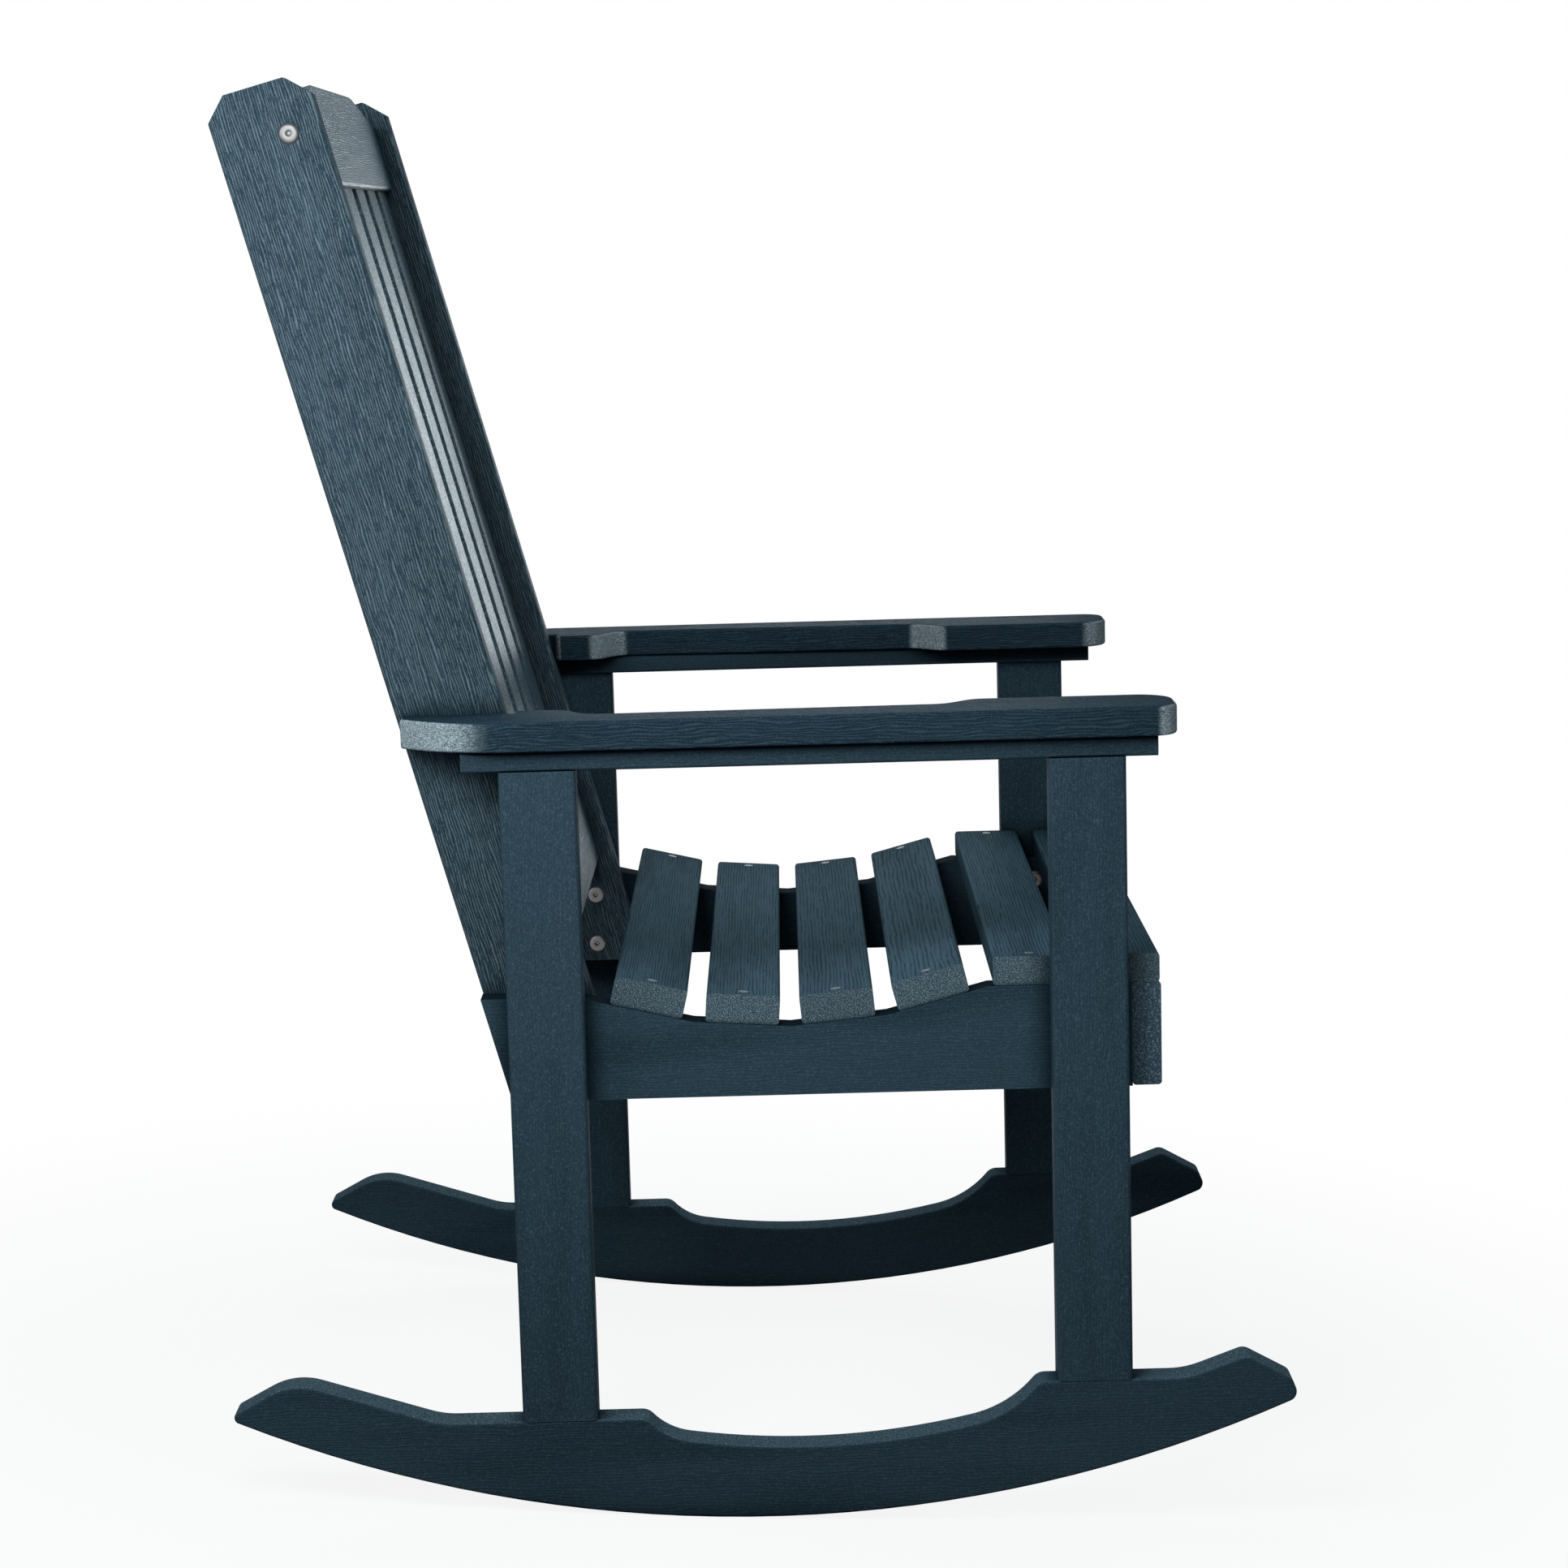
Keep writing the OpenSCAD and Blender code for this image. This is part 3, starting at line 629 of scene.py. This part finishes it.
# Waxy boards with long furrows, and coarse pores inside a dark rim on the sawn ends.
CROSS_BOARD_LUMBER = LumberFinish(
    "recycled_lumber_cross_board", Grain.CROSSWISE,
    core="#293f4d", core_pale="#93a9b5", edge="#1e303b",
    row_mm=(60.0, 2.3), gap_mm=(30.0, 5.0), wander=3.0,
    crest_share=0.08, crack_share=0.75, pore_mm=(1.7, 1.7), swirl_share=0.45,
    relief_mm=0.24, roughness=0.43, gloss_level=0.11,
)


@dataclass(frozen=True)
class SteelFinish:
    """Cold-headed stainless steel with a tumbled surface.

    The eye gets a warm grey, softly glossy metal with a faint cloudy haze.
    """

    name: str = "tumbled_stainless_steel"
    metal: str = "#807c7b"
    haze: str = "#666362"
    # The real haze is about 0.5 mm, too fine to show, so it is drawn coarser.
    haze_mm: float = 1.5
    haze_detail: float = 3.0
    roughness: float = 0.46
    smoother: float = 0.08
    rougher: float = 0.12

    def make(self) -> bpy.types.Material:
        """Builds the material.

        Returns:
            The finished material.
        """
        material, tree, shader = plain_material(self.name)
        coords = add_node(tree, "ShaderNodeTexCoord")
        cloudy = add_node(tree, "ShaderNodeTexNoise", None, {
            "Vector": coords.outputs["Object"],
            "Scale": 1.0 / (self.haze_mm * MM),
            "Detail": self.haze_detail,
        })
        colour = add_node(tree, "ShaderNodeMix", COLOUR_MIX, {
            MIX_SHARE: cloudy.outputs["Fac"],
            COLOUR_A: linear(self.haze),
            COLOUR_B: linear(self.metal),
        })
        gloss = add_node(tree, "ShaderNodeMapRange", None, {
            "Value": cloudy.outputs["Fac"],
            "To Min": self.roughness - self.smoother,
            "To Max": self.roughness + self.rougher,
        })
        tree.links.new(colour.outputs[COLOUR_MIXED], shader.inputs["Base Color"])
        tree.links.new(gloss.outputs["Result"], shader.inputs["Roughness"])
        shader.inputs["Metallic"].default_value = 1.0
        return material


# The bright heads of the button bolts.
BOLT_STEEL = SteelFinish()

# Small countersunk heads, dull, with a darker colour that is painted shade for their holes.
SHADED_SCREW_STEEL = SteelFinish(
    name="dull_shaded_stainless_steel", metal="#454b4f", haze="#2c3236", roughness=0.60
)


@dataclass(frozen=True)
class NylonShadeRingFinish:
    """Moulded black nylon washer, whose dark ring round a bolt also stands in as painted shade
    for the gap under the head.
    """

    name: str = "black_nylon_shade_ring"
    colour: str = "#0b1014"
    # The mould's grit is about 0.1 mm, too fine to show, so it is drawn coarser.
    grit_mm: float = 0.8
    roughness: Pair = (0.5, 0.75)

    def make(self) -> bpy.types.Material:
        """Builds the material.

        Returns:
            The finished material.
        """
        material, tree, shader = plain_material(self.name)
        coords = add_node(tree, "ShaderNodeTexCoord")
        grit = add_node(tree, "ShaderNodeTexNoise", None, {
            "Vector": coords.outputs["Object"], "Scale": 1.0 / (self.grit_mm * MM),
        })
        gloss = add_node(tree, "ShaderNodeMapRange", None, {
            "Value": grit.outputs["Fac"],
            "To Min": self.roughness[0],
            "To Max": self.roughness[1],
        })
        tree.links.new(gloss.outputs["Result"], shader.inputs["Roughness"])
        shader.inputs["Base Color"].default_value = linear(self.colour)
        return material


@dataclass(frozen=True)
class FloorFinish:
    """Matt painted studio floor, which fades to the white of the background.

    The eye gets a plain pale ground with the chair's soft shadow and no horizon.
    """

    name: str = "matt_studio_floor"
    seen: str = "#f4f4f4"
    bounce: str = "#30383c"
    white_share: float = 0.88
    fade_from: float = 0.45
    fade_to: float = 1.2

    def make(self) -> bpy.types.Material:
        """Builds the material.

        Returns:
            The finished material.
        """
        material = bpy.data.materials.new(self.name)
        material.use_nodes = True
        tree = material.node_tree
        tree.nodes.clear()
        path = add_node(tree, "ShaderNodeLightPath")
        coords = add_node(tree, "ShaderNodeTexCoord")
        reach = add_node(tree, "ShaderNodeVectorMath", {"operation": "LENGTH"}, {
            0: coords.outputs["Object"],
        })
        fade = add_node(tree, "ShaderNodeMapRange", SOFT_MASK, {
            "Value": reach.outputs["Value"],
            "From Min": self.fade_from,
            "From Max": self.fade_to,
            "To Min": self.white_share,
        })
        looked = add_node(tree, "ShaderNodeMath", {"operation": "MAXIMUM"}, {
            0: path.outputs["Is Camera Ray"], 1: path.outputs["Is Glossy Ray"],
        })
        pale = add_node(tree, "ShaderNodeBsdfDiffuse", None, {"Color": linear(self.seen)})
        white = add_node(tree, "ShaderNodeEmission", None, {"Strength": 1.0})
        shown = add_node(tree, "ShaderNodeMixShader", None, {
            0: fade.outputs["Result"],
            1: pale.outputs["BSDF"],
            2: white.outputs["Emission"],
        })
        grey = add_node(tree, "ShaderNodeBsdfDiffuse", None, {"Color": linear(self.bounce)})
        mixed = add_node(tree, "ShaderNodeMixShader", None, {
            0: looked.outputs["Value"],
            1: grey.outputs["BSDF"],
            2: shown.outputs["Shader"],
        })
        add_node(tree, "ShaderNodeOutputMaterial", None, {"Surface": mixed.outputs["Shader"]})
        return material


class Finish(Protocol):
    """Any finish: a frozen set of values that can build its material."""

    def make(self) -> bpy.types.Material:
        """Builds the material."""


class Finishes:
    """Keeps each finish that is in use, so that boards of one kind share a material."""

    def __init__(self) -> None:
        """Starts with no material made."""
        self._made: dict[Finish, bpy.types.Material] = {}

    def of(self, finish: Finish) -> bpy.types.Material:
        """Gives the material of a finish, and makes it the first time.

        Args:
            finish: a frozen finish.

        Returns:
            Its material.
        """
        if finish not in self._made:
            self._made[finish] = finish.make()
        return self._made[finish]


def dressed_node(node: str, material: bpy.types.Material) -> bpy.types.Object:
    """Gives a CAD node a finish, and leaves its mesh alone.

    Args:
        node: the node's name.
        material: the finish's material.

    Returns:
        The node's object.
    """
    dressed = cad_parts[node]
    dressed.data.materials.clear()
    dressed.data.materials.append(material)
    return dressed


def merged_copy(node: str) -> bmesh.types.BMesh:
    """Takes a CAD node's triangles and merges them into whole flat faces.

    Args:
        node: the node's name.

    Returns:
        The merged shape, to be freed by the caller.
    """
    shape = bmesh.new()
    shape.from_mesh(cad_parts[node].data)
    bmesh.ops.remove_doubles(shape, verts=shape.verts, dist=SAME_POINT_MM * MM)
    bmesh.ops.dissolve_limit(shape, angle_limit=SAME_FACE, verts=shape.verts, edges=shape.edges)
    bmesh.ops.recalc_face_normals(shape, faces=shape.faces)
    return shape


def linked_groups(
    elements: Iterable[Any], neighbours: Callable[[Any], Iterable[Any]]
) -> list[list[Any]]:
    """Sorts vertices or edges into groups that hang together, the same way in each run.

    Args:
        elements: the vertices or edges.
        neighbours: gives what touches one of them, whether it is among them or not.

    Returns:
        The groups.
    """
    left = dict.fromkeys(elements)
    groups = []
    while left:
        front, group = [left.popitem()[0]], []
        while front:
            element = front.pop()
            group.append(element)
            for other in neighbours(element):
                if other in left:
                    del left[other]
                    front.append(other)
        groups.append(group)
    return groups


def finished_piece(
    shape: bmesh.types.BMesh,
    name: str,
    material: bpy.types.Material,
    stands_for: Iterable[str],
) -> bpy.types.Object:
    """Turns a shape into a piece of the chair.

    Args:
        shape: the modelled shape, which is freed.
        name: the piece's name.
        material: its finish.
        stands_for: the CAD nodes that it replaces.

    Returns:
        The piece, at the origin and riding on the chair.
    """
    mesh = bpy.data.meshes.new(name)
    shape.to_mesh(mesh)
    shape.free()
    mesh.shade_smooth()
    mesh.set_sharp_from_angle(angle=SHARP_EDGE)
    mesh.materials.append(material)
    piece = bpy.data.objects.new(name, mesh)
    bpy.context.scene.collection.objects.link(piece)
    even = piece.modifiers.new("even_shading", "WEIGHTED_NORMAL")
    even.keep_sharp = True
    even.weight = FULL_WEIGHT
    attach(piece, BODY)
    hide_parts(*stands_for)
    return piece


@dataclass
class SawnBoards:
    """Runners and arms, sawn to a curved outline and eased along it."""

    finishes: Finishes
    ease_mm: float = 2.2
    ease_steps: int = 4
    largest_hole_mm: float = 60.0
    least_corner: float = math.radians(35)
    broad_cosine: float = 0.98
    side_cosine: float = 0.6

    def _outline(
        self, shape: bmesh.types.BMesh, broad_way: Vector
    ) -> list[bmesh.types.BMEdge]:
        """Finds the edges round a board's two broad faces, without those of its holes.

        Args:
            shape: the merged board.
            broad_way: the way its broad faces look.

        Returns:
            The outline's edges.
        """
        corners = []
        for edge in shape.edges:
            if len(edge.link_faces) != 2 or edge.calc_face_angle(0.0) < self.least_corner:
                continue
            side, broad = sorted(abs(face.normal.dot(broad_way)) for face in edge.link_faces)
            if broad > self.broad_cosine and side < self.side_cosine:
                corners.append(edge)
        outline = []
        for ring in linked_groups(
            corners, lambda edge: (other for vert in edge.verts for other in vert.link_edges)
        ):
            points = [vert.co for edge in ring for vert in edge.verts]
            span = max((points[0] - point).length for point in points)
            if span > self.largest_hole_mm * MM:
                outline.extend(ring)
        return outline

    def _board(self, node: str, broad_way: Vector, finish: LumberFinish) -> bpy.types.Object:
        """Eases the outline of one sawn board.

        Args:
            node: the CAD node.
            broad_way: the way its broad faces look.
            finish: the board's finish.

        Returns:
            The finished board.
        """
        shape = merged_copy(node)
        bmesh.ops.bevel(
            shape,
            geom=self._outline(shape, broad_way),
            offset=self.ease_mm * MM,
            offset_type="OFFSET",
            segments=self.ease_steps,
            profile=0.5,
            affect="EDGES",
            clamp_overlap=False,
            material=-1,
        )
        bmesh.ops.recalc_face_normals(shape, faces=shape.faces)
        return finished_piece(
            shape, f"{node}_eased", self.finishes.of(finish), [node]
        )

    def build(self) -> list[bpy.types.Object]:
        """Builds the runners and the arms.

        Returns:
            The finished boards.
        """
        made = []
        for side in SIDES:
            made.append(self._board(f"runner_{side}", SIDEWAYS, RUNNER_LUMBER))
            made.append(self._board(f"arm_{side}", UPWARD, ARM_LUMBER))
        return made


@dataclass
class StraightBoards:
    """Boards cut straight from stock, which keep their CAD solids."""

    finishes: Finishes
    slats: int = 6

    def build(self) -> list[bpy.types.Object]:
        """Dresses each board with the grain along its length.

        Returns:
            The dressed boards.
        """
        numbers = range(1, self.slats + 1)
        stock = (
            (LEG_LUMBER, [f"{end}_leg_{side}" for end in ("rear", "front") for side in SIDES]),
            (SUPPORT_LUMBER, [f"arm_support_{side}" for side in SIDES]),
            (RAIL_LUMBER, [f"seat_rail_{side}" for side in SIDES]),
            (STILE_LUMBER, [f"back_stile_{side}" for side in SIDES]),
            (SEAT_SLAT_LUMBER, [f"seat_slat_{number}" for number in numbers]),
            (BACK_SLAT_LUMBER, [f"back_slat_{number}" for number in numbers]),
            (CROSS_BOARD_LUMBER, ["seat_apron", "head_board", "lower_back_board"]),
        )
        return [
            dressed_node(node, self.finishes.of(finish))
            for finish, nodes in stock for node in nodes
        ]


@dataclass
class ButtonBolts:
    """Button head bolts through the boards, each on a thin nylon washer whose dark ring is partly
    painted shade.
    """

    finishes: Finishes
    head_r_mm: float = 7.0
    head_h_mm: float = 1.6
    head_rim_mm: float = 0.6
    under_round_mm: float = 0.3
    shank_r_mm: float = 4.0
    socket_r_mm: float = 2.3
    socket_deep_mm: float = 2.4
    socket_bevel_mm: Pair = (0.5, 0.3)
    socket_cone_mm: float = 0.9
    washer_r_mm: float = 8.0
    washer_t_mm: float = 0.5
    washer_play_mm: float = 0.05
    washer_lift_mm: float = 0.02
    washer_round_mm: float = 0.12
    seam_mm: float = 0.01
    steps: int = 48
    # How far in from the head's rim each point of the crown is, and its share of the height.
    crown: tuple[Pair, ...] = ((0.0, 0.40), (0.45, 0.72), (1.3, 0.92), (2.6, 1.0))
    nodes: tuple[str, ...] = (
        "head_board_bolts", "lower_board_bolts", "rear_frame_bolts", "front_frame_bolts",
    )

    def _spin(self, shape: bmesh.types.BMesh, profile: Iterable[Pair], place: Matrix) -> None:
        """Spins a profile about its own axis and puts it in place.

        Args:
            shape: the mesh that takes it, whose finished vertices are tagged.
            profile: radius and height of each point, in millimetres.
            place: where the axis goes.
        """
        points = [shape.verts.new((r * MM, 0.0, h * MM)) for r, h in profile]
        edges = [shape.edges.new(pair) for pair in zip(points, points[1:])]
        bmesh.ops.spin(
            shape,
            geom=points + edges,
            cent=(0.0, 0.0, 0.0),
            axis=(0.0, 0.0, 1.0),
            angle=math.tau,
            steps=self.steps,
            use_merge=True,
            use_duplicate=False,
        )
        fresh = [vert for vert in shape.verts if not vert.tag]
        bmesh.ops.remove_doubles(shape, verts=fresh, dist=self.seam_mm * MM)
        fresh = [vert for vert in shape.verts if not vert.tag]
        bmesh.ops.transform(shape, matrix=place, verts=fresh)
        for vert in fresh:
            vert.tag = True

    def _bolt(self, shape: bmesh.types.BMesh, place: Matrix, length_mm: float) -> None:
        """Makes one bolt: shank, head, crown and socket with a drilled floor.

        Args:
            shape: the mesh that takes it.
            place: where its washer lies, with the axis out of the board.
            length_mm: how far the shank goes in.
        """
        rim, shank, socket = self.head_r_mm, self.shank_r_mm, self.socket_r_mm
        under = self.washer_t_mm
        top = under + self.head_h_mm
        bevel_r, bevel_h = self.socket_bevel_mm
        floor = top - self.socket_deep_mm
        self._spin(shape, (
            (0.0, -length_mm),
            (shank, -length_mm),
            (shank, under),
            (rim - self.under_round_mm, under),
            (rim, under + self.under_round_mm),
            *((rim - inset, under + share * self.head_h_mm) for inset, share in self.crown),
            (socket + bevel_r, top),
            (socket, top - bevel_h),
            (socket, floor),
            (0.0, floor + self.socket_cone_mm),
        ), place)

    def _washer(self, shape: bmesh.types.BMesh, place: Matrix) -> None:
        """Makes one washer.

        Args:
            shape: the mesh that takes it.
            place: where its underside goes.
        """
        outer, inner = self.washer_r_mm, self.shank_r_mm + self.washer_play_mm
        low, top = self.washer_lift_mm, self.washer_t_mm
        self._spin(shape, (
            (inner, low),
            (outer, low),
            (outer, top - self.washer_round_mm),
            (outer - self.washer_round_mm, top),
            (inner, top),
            (inner, low),
        ), place)

    def _place(self, bolt: list[bmesh.types.BMVert]) -> tuple[Matrix, float]:
        """Finds where one CAD bolt sits.

        Args:
            bolt: its vertices.

        Returns:
            The place of its head's underside, and the length of its shank in millimetres.
        """
        low = Vector(min(vert.co[axis] for vert in bolt) for axis in range(3))
        high = Vector(max(vert.co[axis] for vert in bolt) for axis in range(3))
        middle = (low + high) / 2
        rim = [
            vert.co.x for vert in bolt
            if (vert.co - middle).yz.length > (self.head_r_mm - self.head_rim_mm) * MM
        ]
        outward = 1.0 if sum(rim) / len(rim) > middle.x else -1.0
        seat = min(rim, key=lambda x: x * outward)
        tip = min((vert.co.x for vert in bolt), key=lambda x: x * outward)
        turn = Vector((outward, 0.0, 0.0)).to_track_quat("Z", "Y").to_matrix().to_4x4()
        return Matrix.Translation((seat, middle.y, middle.z)) @ turn, abs(seat - tip) / MM

    def _places(self, node: str) -> list[tuple[Matrix, float]]:
        """Finds where each bolt of a node sits.

        Args:
            node: the CAD node.

        Returns:
            Each bolt's place and length, as _place gives them.
        """
        whole = merged_copy(node)
        bolts = linked_groups(
            whole.verts, lambda vert: (edge.other_vert(vert) for edge in vert.link_edges)
        )
        found = [self._place(bolt) for bolt in bolts]
        whole.free()
        return found

    def build(self) -> list[bpy.types.Object]:
        """Builds the bolts and their washers.

        Returns:
            A piece of bolts and a piece of washers for each node.
        """
        made = []
        for node in self.nodes:
            bolts, washers = bmesh.new(), bmesh.new()
            for place, length_mm in self._places(node):
                self._bolt(bolts, place, length_mm)
                self._washer(washers, place)
            for shape, name, finish in (
                (bolts, f"{node}_button_heads", BOLT_STEEL),
                (washers, f"{node}_washers", NylonShadeRingFinish()),
            ):
                bmesh.ops.recalc_face_normals(shape, faces=shape.faces)
                made.append(
                    finished_piece(shape, name, self.finishes.of(finish), [node])
                )
        return made


@dataclass
class Screws:
    """The screws and the hidden runner bolts, which keep their CAD solids."""

    finishes: Finishes
    nodes: tuple[str, ...] = (
        "runner_bolts", "leg_top_screws", "arm_screws", "apron_screws", "seat_slat_screws",
        "back_slat_screws",
    )

    def build(self) -> list[bpy.types.Object]:
        """Dresses each set of fasteners and gives them back."""
        return [dressed_node(node, self.finishes.of(SHADED_SCREW_STEEL)) for node in self.nodes]


@dataclass(frozen=True)
class SoftBox:
    """A rectangular studio lamp, in metres and watts, which the camera doesn't see."""

    name: str
    place: Triple
    aim: Triple
    size: Pair
    watts: float
    tint: str = "#e8f2f6"

    def hang(self) -> None:
        """Hangs the lamp in its place, turned to its aim."""
        lamp = bpy.data.lights.new(self.name, "AREA")
        lamp.shape = "RECTANGLE"
        lamp.size, lamp.size_y = self.size
        lamp.energy = self.watts
        lamp.color = linear(self.tint)[:3]
        way = Vector(self.aim) - Vector(self.place)
        holder = bpy.data.objects.new(self.name, lamp)
        holder.location = self.place
        holder.rotation_euler = way.to_track_quat("-Z", "Y").to_euler()
        holder.visible_camera = False
        bpy.context.scene.collection.objects.link(holder)


@dataclass
class Studio:
    """The floor, the lamps, the white surround and the camera."""

    floor_half: float = 9.0
    floor_drop_mm: float = 0.3
    room: str = "#dcecf4"
    background: str = "#ffffff"
    ambient: float = 0.02
    mirrored: float = 1.0
    lamps: tuple[SoftBox, ...] = (
        SoftBox("back_box", (-1.05, 0.34, 1.26), (-0.3, 0.40, 1.00), (0.5, 0.5), 9.2),
        SoftBox("side_box", (-1.1, -0.05, 0.65), (-0.3, 0.0, 0.35), (0.9, 0.5), 2.9),
        SoftBox("front_leg_box", (-1.1, -0.55, 0.5), (-0.3, -0.35, 0.3), (0.5, 0.5), 0.9),
        SoftBox("top_box", (0.3, -0.15, 2.2), (0.0, -0.05, 0.5), (0.8, 0.8), 6.5),
        SoftBox("front_box", (0.5, -2.7, 1.8), (0.0, 0.0, 0.6), (1.4, 1.4), 14.0, "#cfe5f0"),
        SoftBox("far_strip", (4.4, -0.72, 1.05), (0.0, 0.2, 0.85), (1.4, 0.5), 3.0, "#d2e4ee"),
        SoftBox("far_box", (1.5, 0.1, 0.8), (0.3, 0.1, 0.5), (1.0, 0.6), 10.0),
        SoftBox("rear_box", (-1.0, 1.2, 1.3), (-0.3, 0.3, 0.7), (0.5, 0.5), 8.0),
    )
    sensor_mm: float = 36.0
    lens_mm: float = 79.92
    view_reach: float = 60.0
    camera_at: Triple = (-2.93405, -0.03002, 0.99889)
    camera_turn: Triple = (81.02605, -1.53055, -90.15457)

    def _floor(self) -> None:
        """Lays the floor just under the runners."""
        shape = bmesh.new()
        bmesh.ops.create_grid(shape, x_segments=1, y_segments=1, size=self.floor_half)
        bmesh.ops.translate(shape, vec=(0.0, 0.0, -self.floor_drop_mm * MM), verts=shape.verts)
        mesh = bpy.data.meshes.new("studio_floor")
        shape.to_mesh(mesh)
        shape.free()
        mesh.materials.append(FloorFinish().make())
        floor = bpy.data.objects.new("studio_floor", mesh)
        bpy.context.scene.collection.objects.link(floor)

    def _surround(self) -> None:
        """Makes a surround that looks white and lights the chair softly."""
        world = bpy.data.worlds.new("soft_studio")
        world.use_nodes = True
        tree = world.node_tree
        tree.nodes.clear()
        path = add_node(tree, "ShaderNodeLightPath")
        looked = add_node(tree, "ShaderNodeMath", {"operation": "MAXIMUM"}, {
            0: path.outputs["Is Camera Ray"], 1: path.outputs["Is Transmission Ray"],
        })
        mirrored = add_node(tree, "ShaderNodeMapRange", None, {
            "Value": path.outputs["Is Glossy Ray"],
            "To Min": self.ambient,
            "To Max": self.mirrored,
        })
        level = add_node(tree, "ShaderNodeMix", LEVEL_MIX, {
            MIX_SHARE: looked.outputs["Value"], LEVEL_A: mirrored.outputs["Result"], LEVEL_B: 1.0,
        })
        tint = add_node(tree, "ShaderNodeMix", COLOUR_MIX, {
            MIX_SHARE: looked.outputs["Value"],
            COLOUR_A: linear(self.room),
            COLOUR_B: linear(self.background),
        })
        light = add_node(tree, "ShaderNodeBackground", None, {
            "Color": tint.outputs[COLOUR_MIXED], "Strength": level.outputs[LEVEL_MIXED],
        })
        add_node(tree, "ShaderNodeOutputWorld", None, {"Surface": light.outputs["Background"]})
        bpy.context.scene.world = world

    def _camera(self) -> None:
        """Sets the camera up where the photograph was taken from."""
        camera = bpy.data.cameras.new("front_side_camera")
        camera.sensor_width = self.sensor_mm
        camera.sensor_fit = "HORIZONTAL"
        camera.lens = self.lens_mm
        camera.clip_end = self.view_reach
        holder = bpy.data.objects.new("front_side_camera", camera)
        holder.location = self.camera_at
        holder.rotation_euler = [math.radians(turn) for turn in self.camera_turn]
        bpy.context.scene.collection.objects.link(holder)
        bpy.context.scene.camera = holder

    def build(self) -> None:
        """Builds the whole studio."""
        self._floor()
        self._surround()
        for lamp in self.lamps:
            lamp.hang()
        self._camera()
        bpy.context.scene.view_settings.view_transform = "Standard"


def main() -> None:
    """Dresses the chair, reports each piece and sets up the studio."""
    logging.basicConfig(level=logging.INFO, format="%(name)s: %(message)s")
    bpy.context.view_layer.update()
    finishes = Finishes()
    parts = (
        SawnBoards(finishes), StraightBoards(finishes), ButtonBolts(finishes), Screws(finishes),
    )
    for part in parts:
        for piece in part.build():
            LOG.info(
                "%s has %d faces and wears %s",
                piece.name, len(piece.data.polygons), piece.data.materials[0].name,
            )
    Studio().build()


if __name__ == "__main__":
    main()
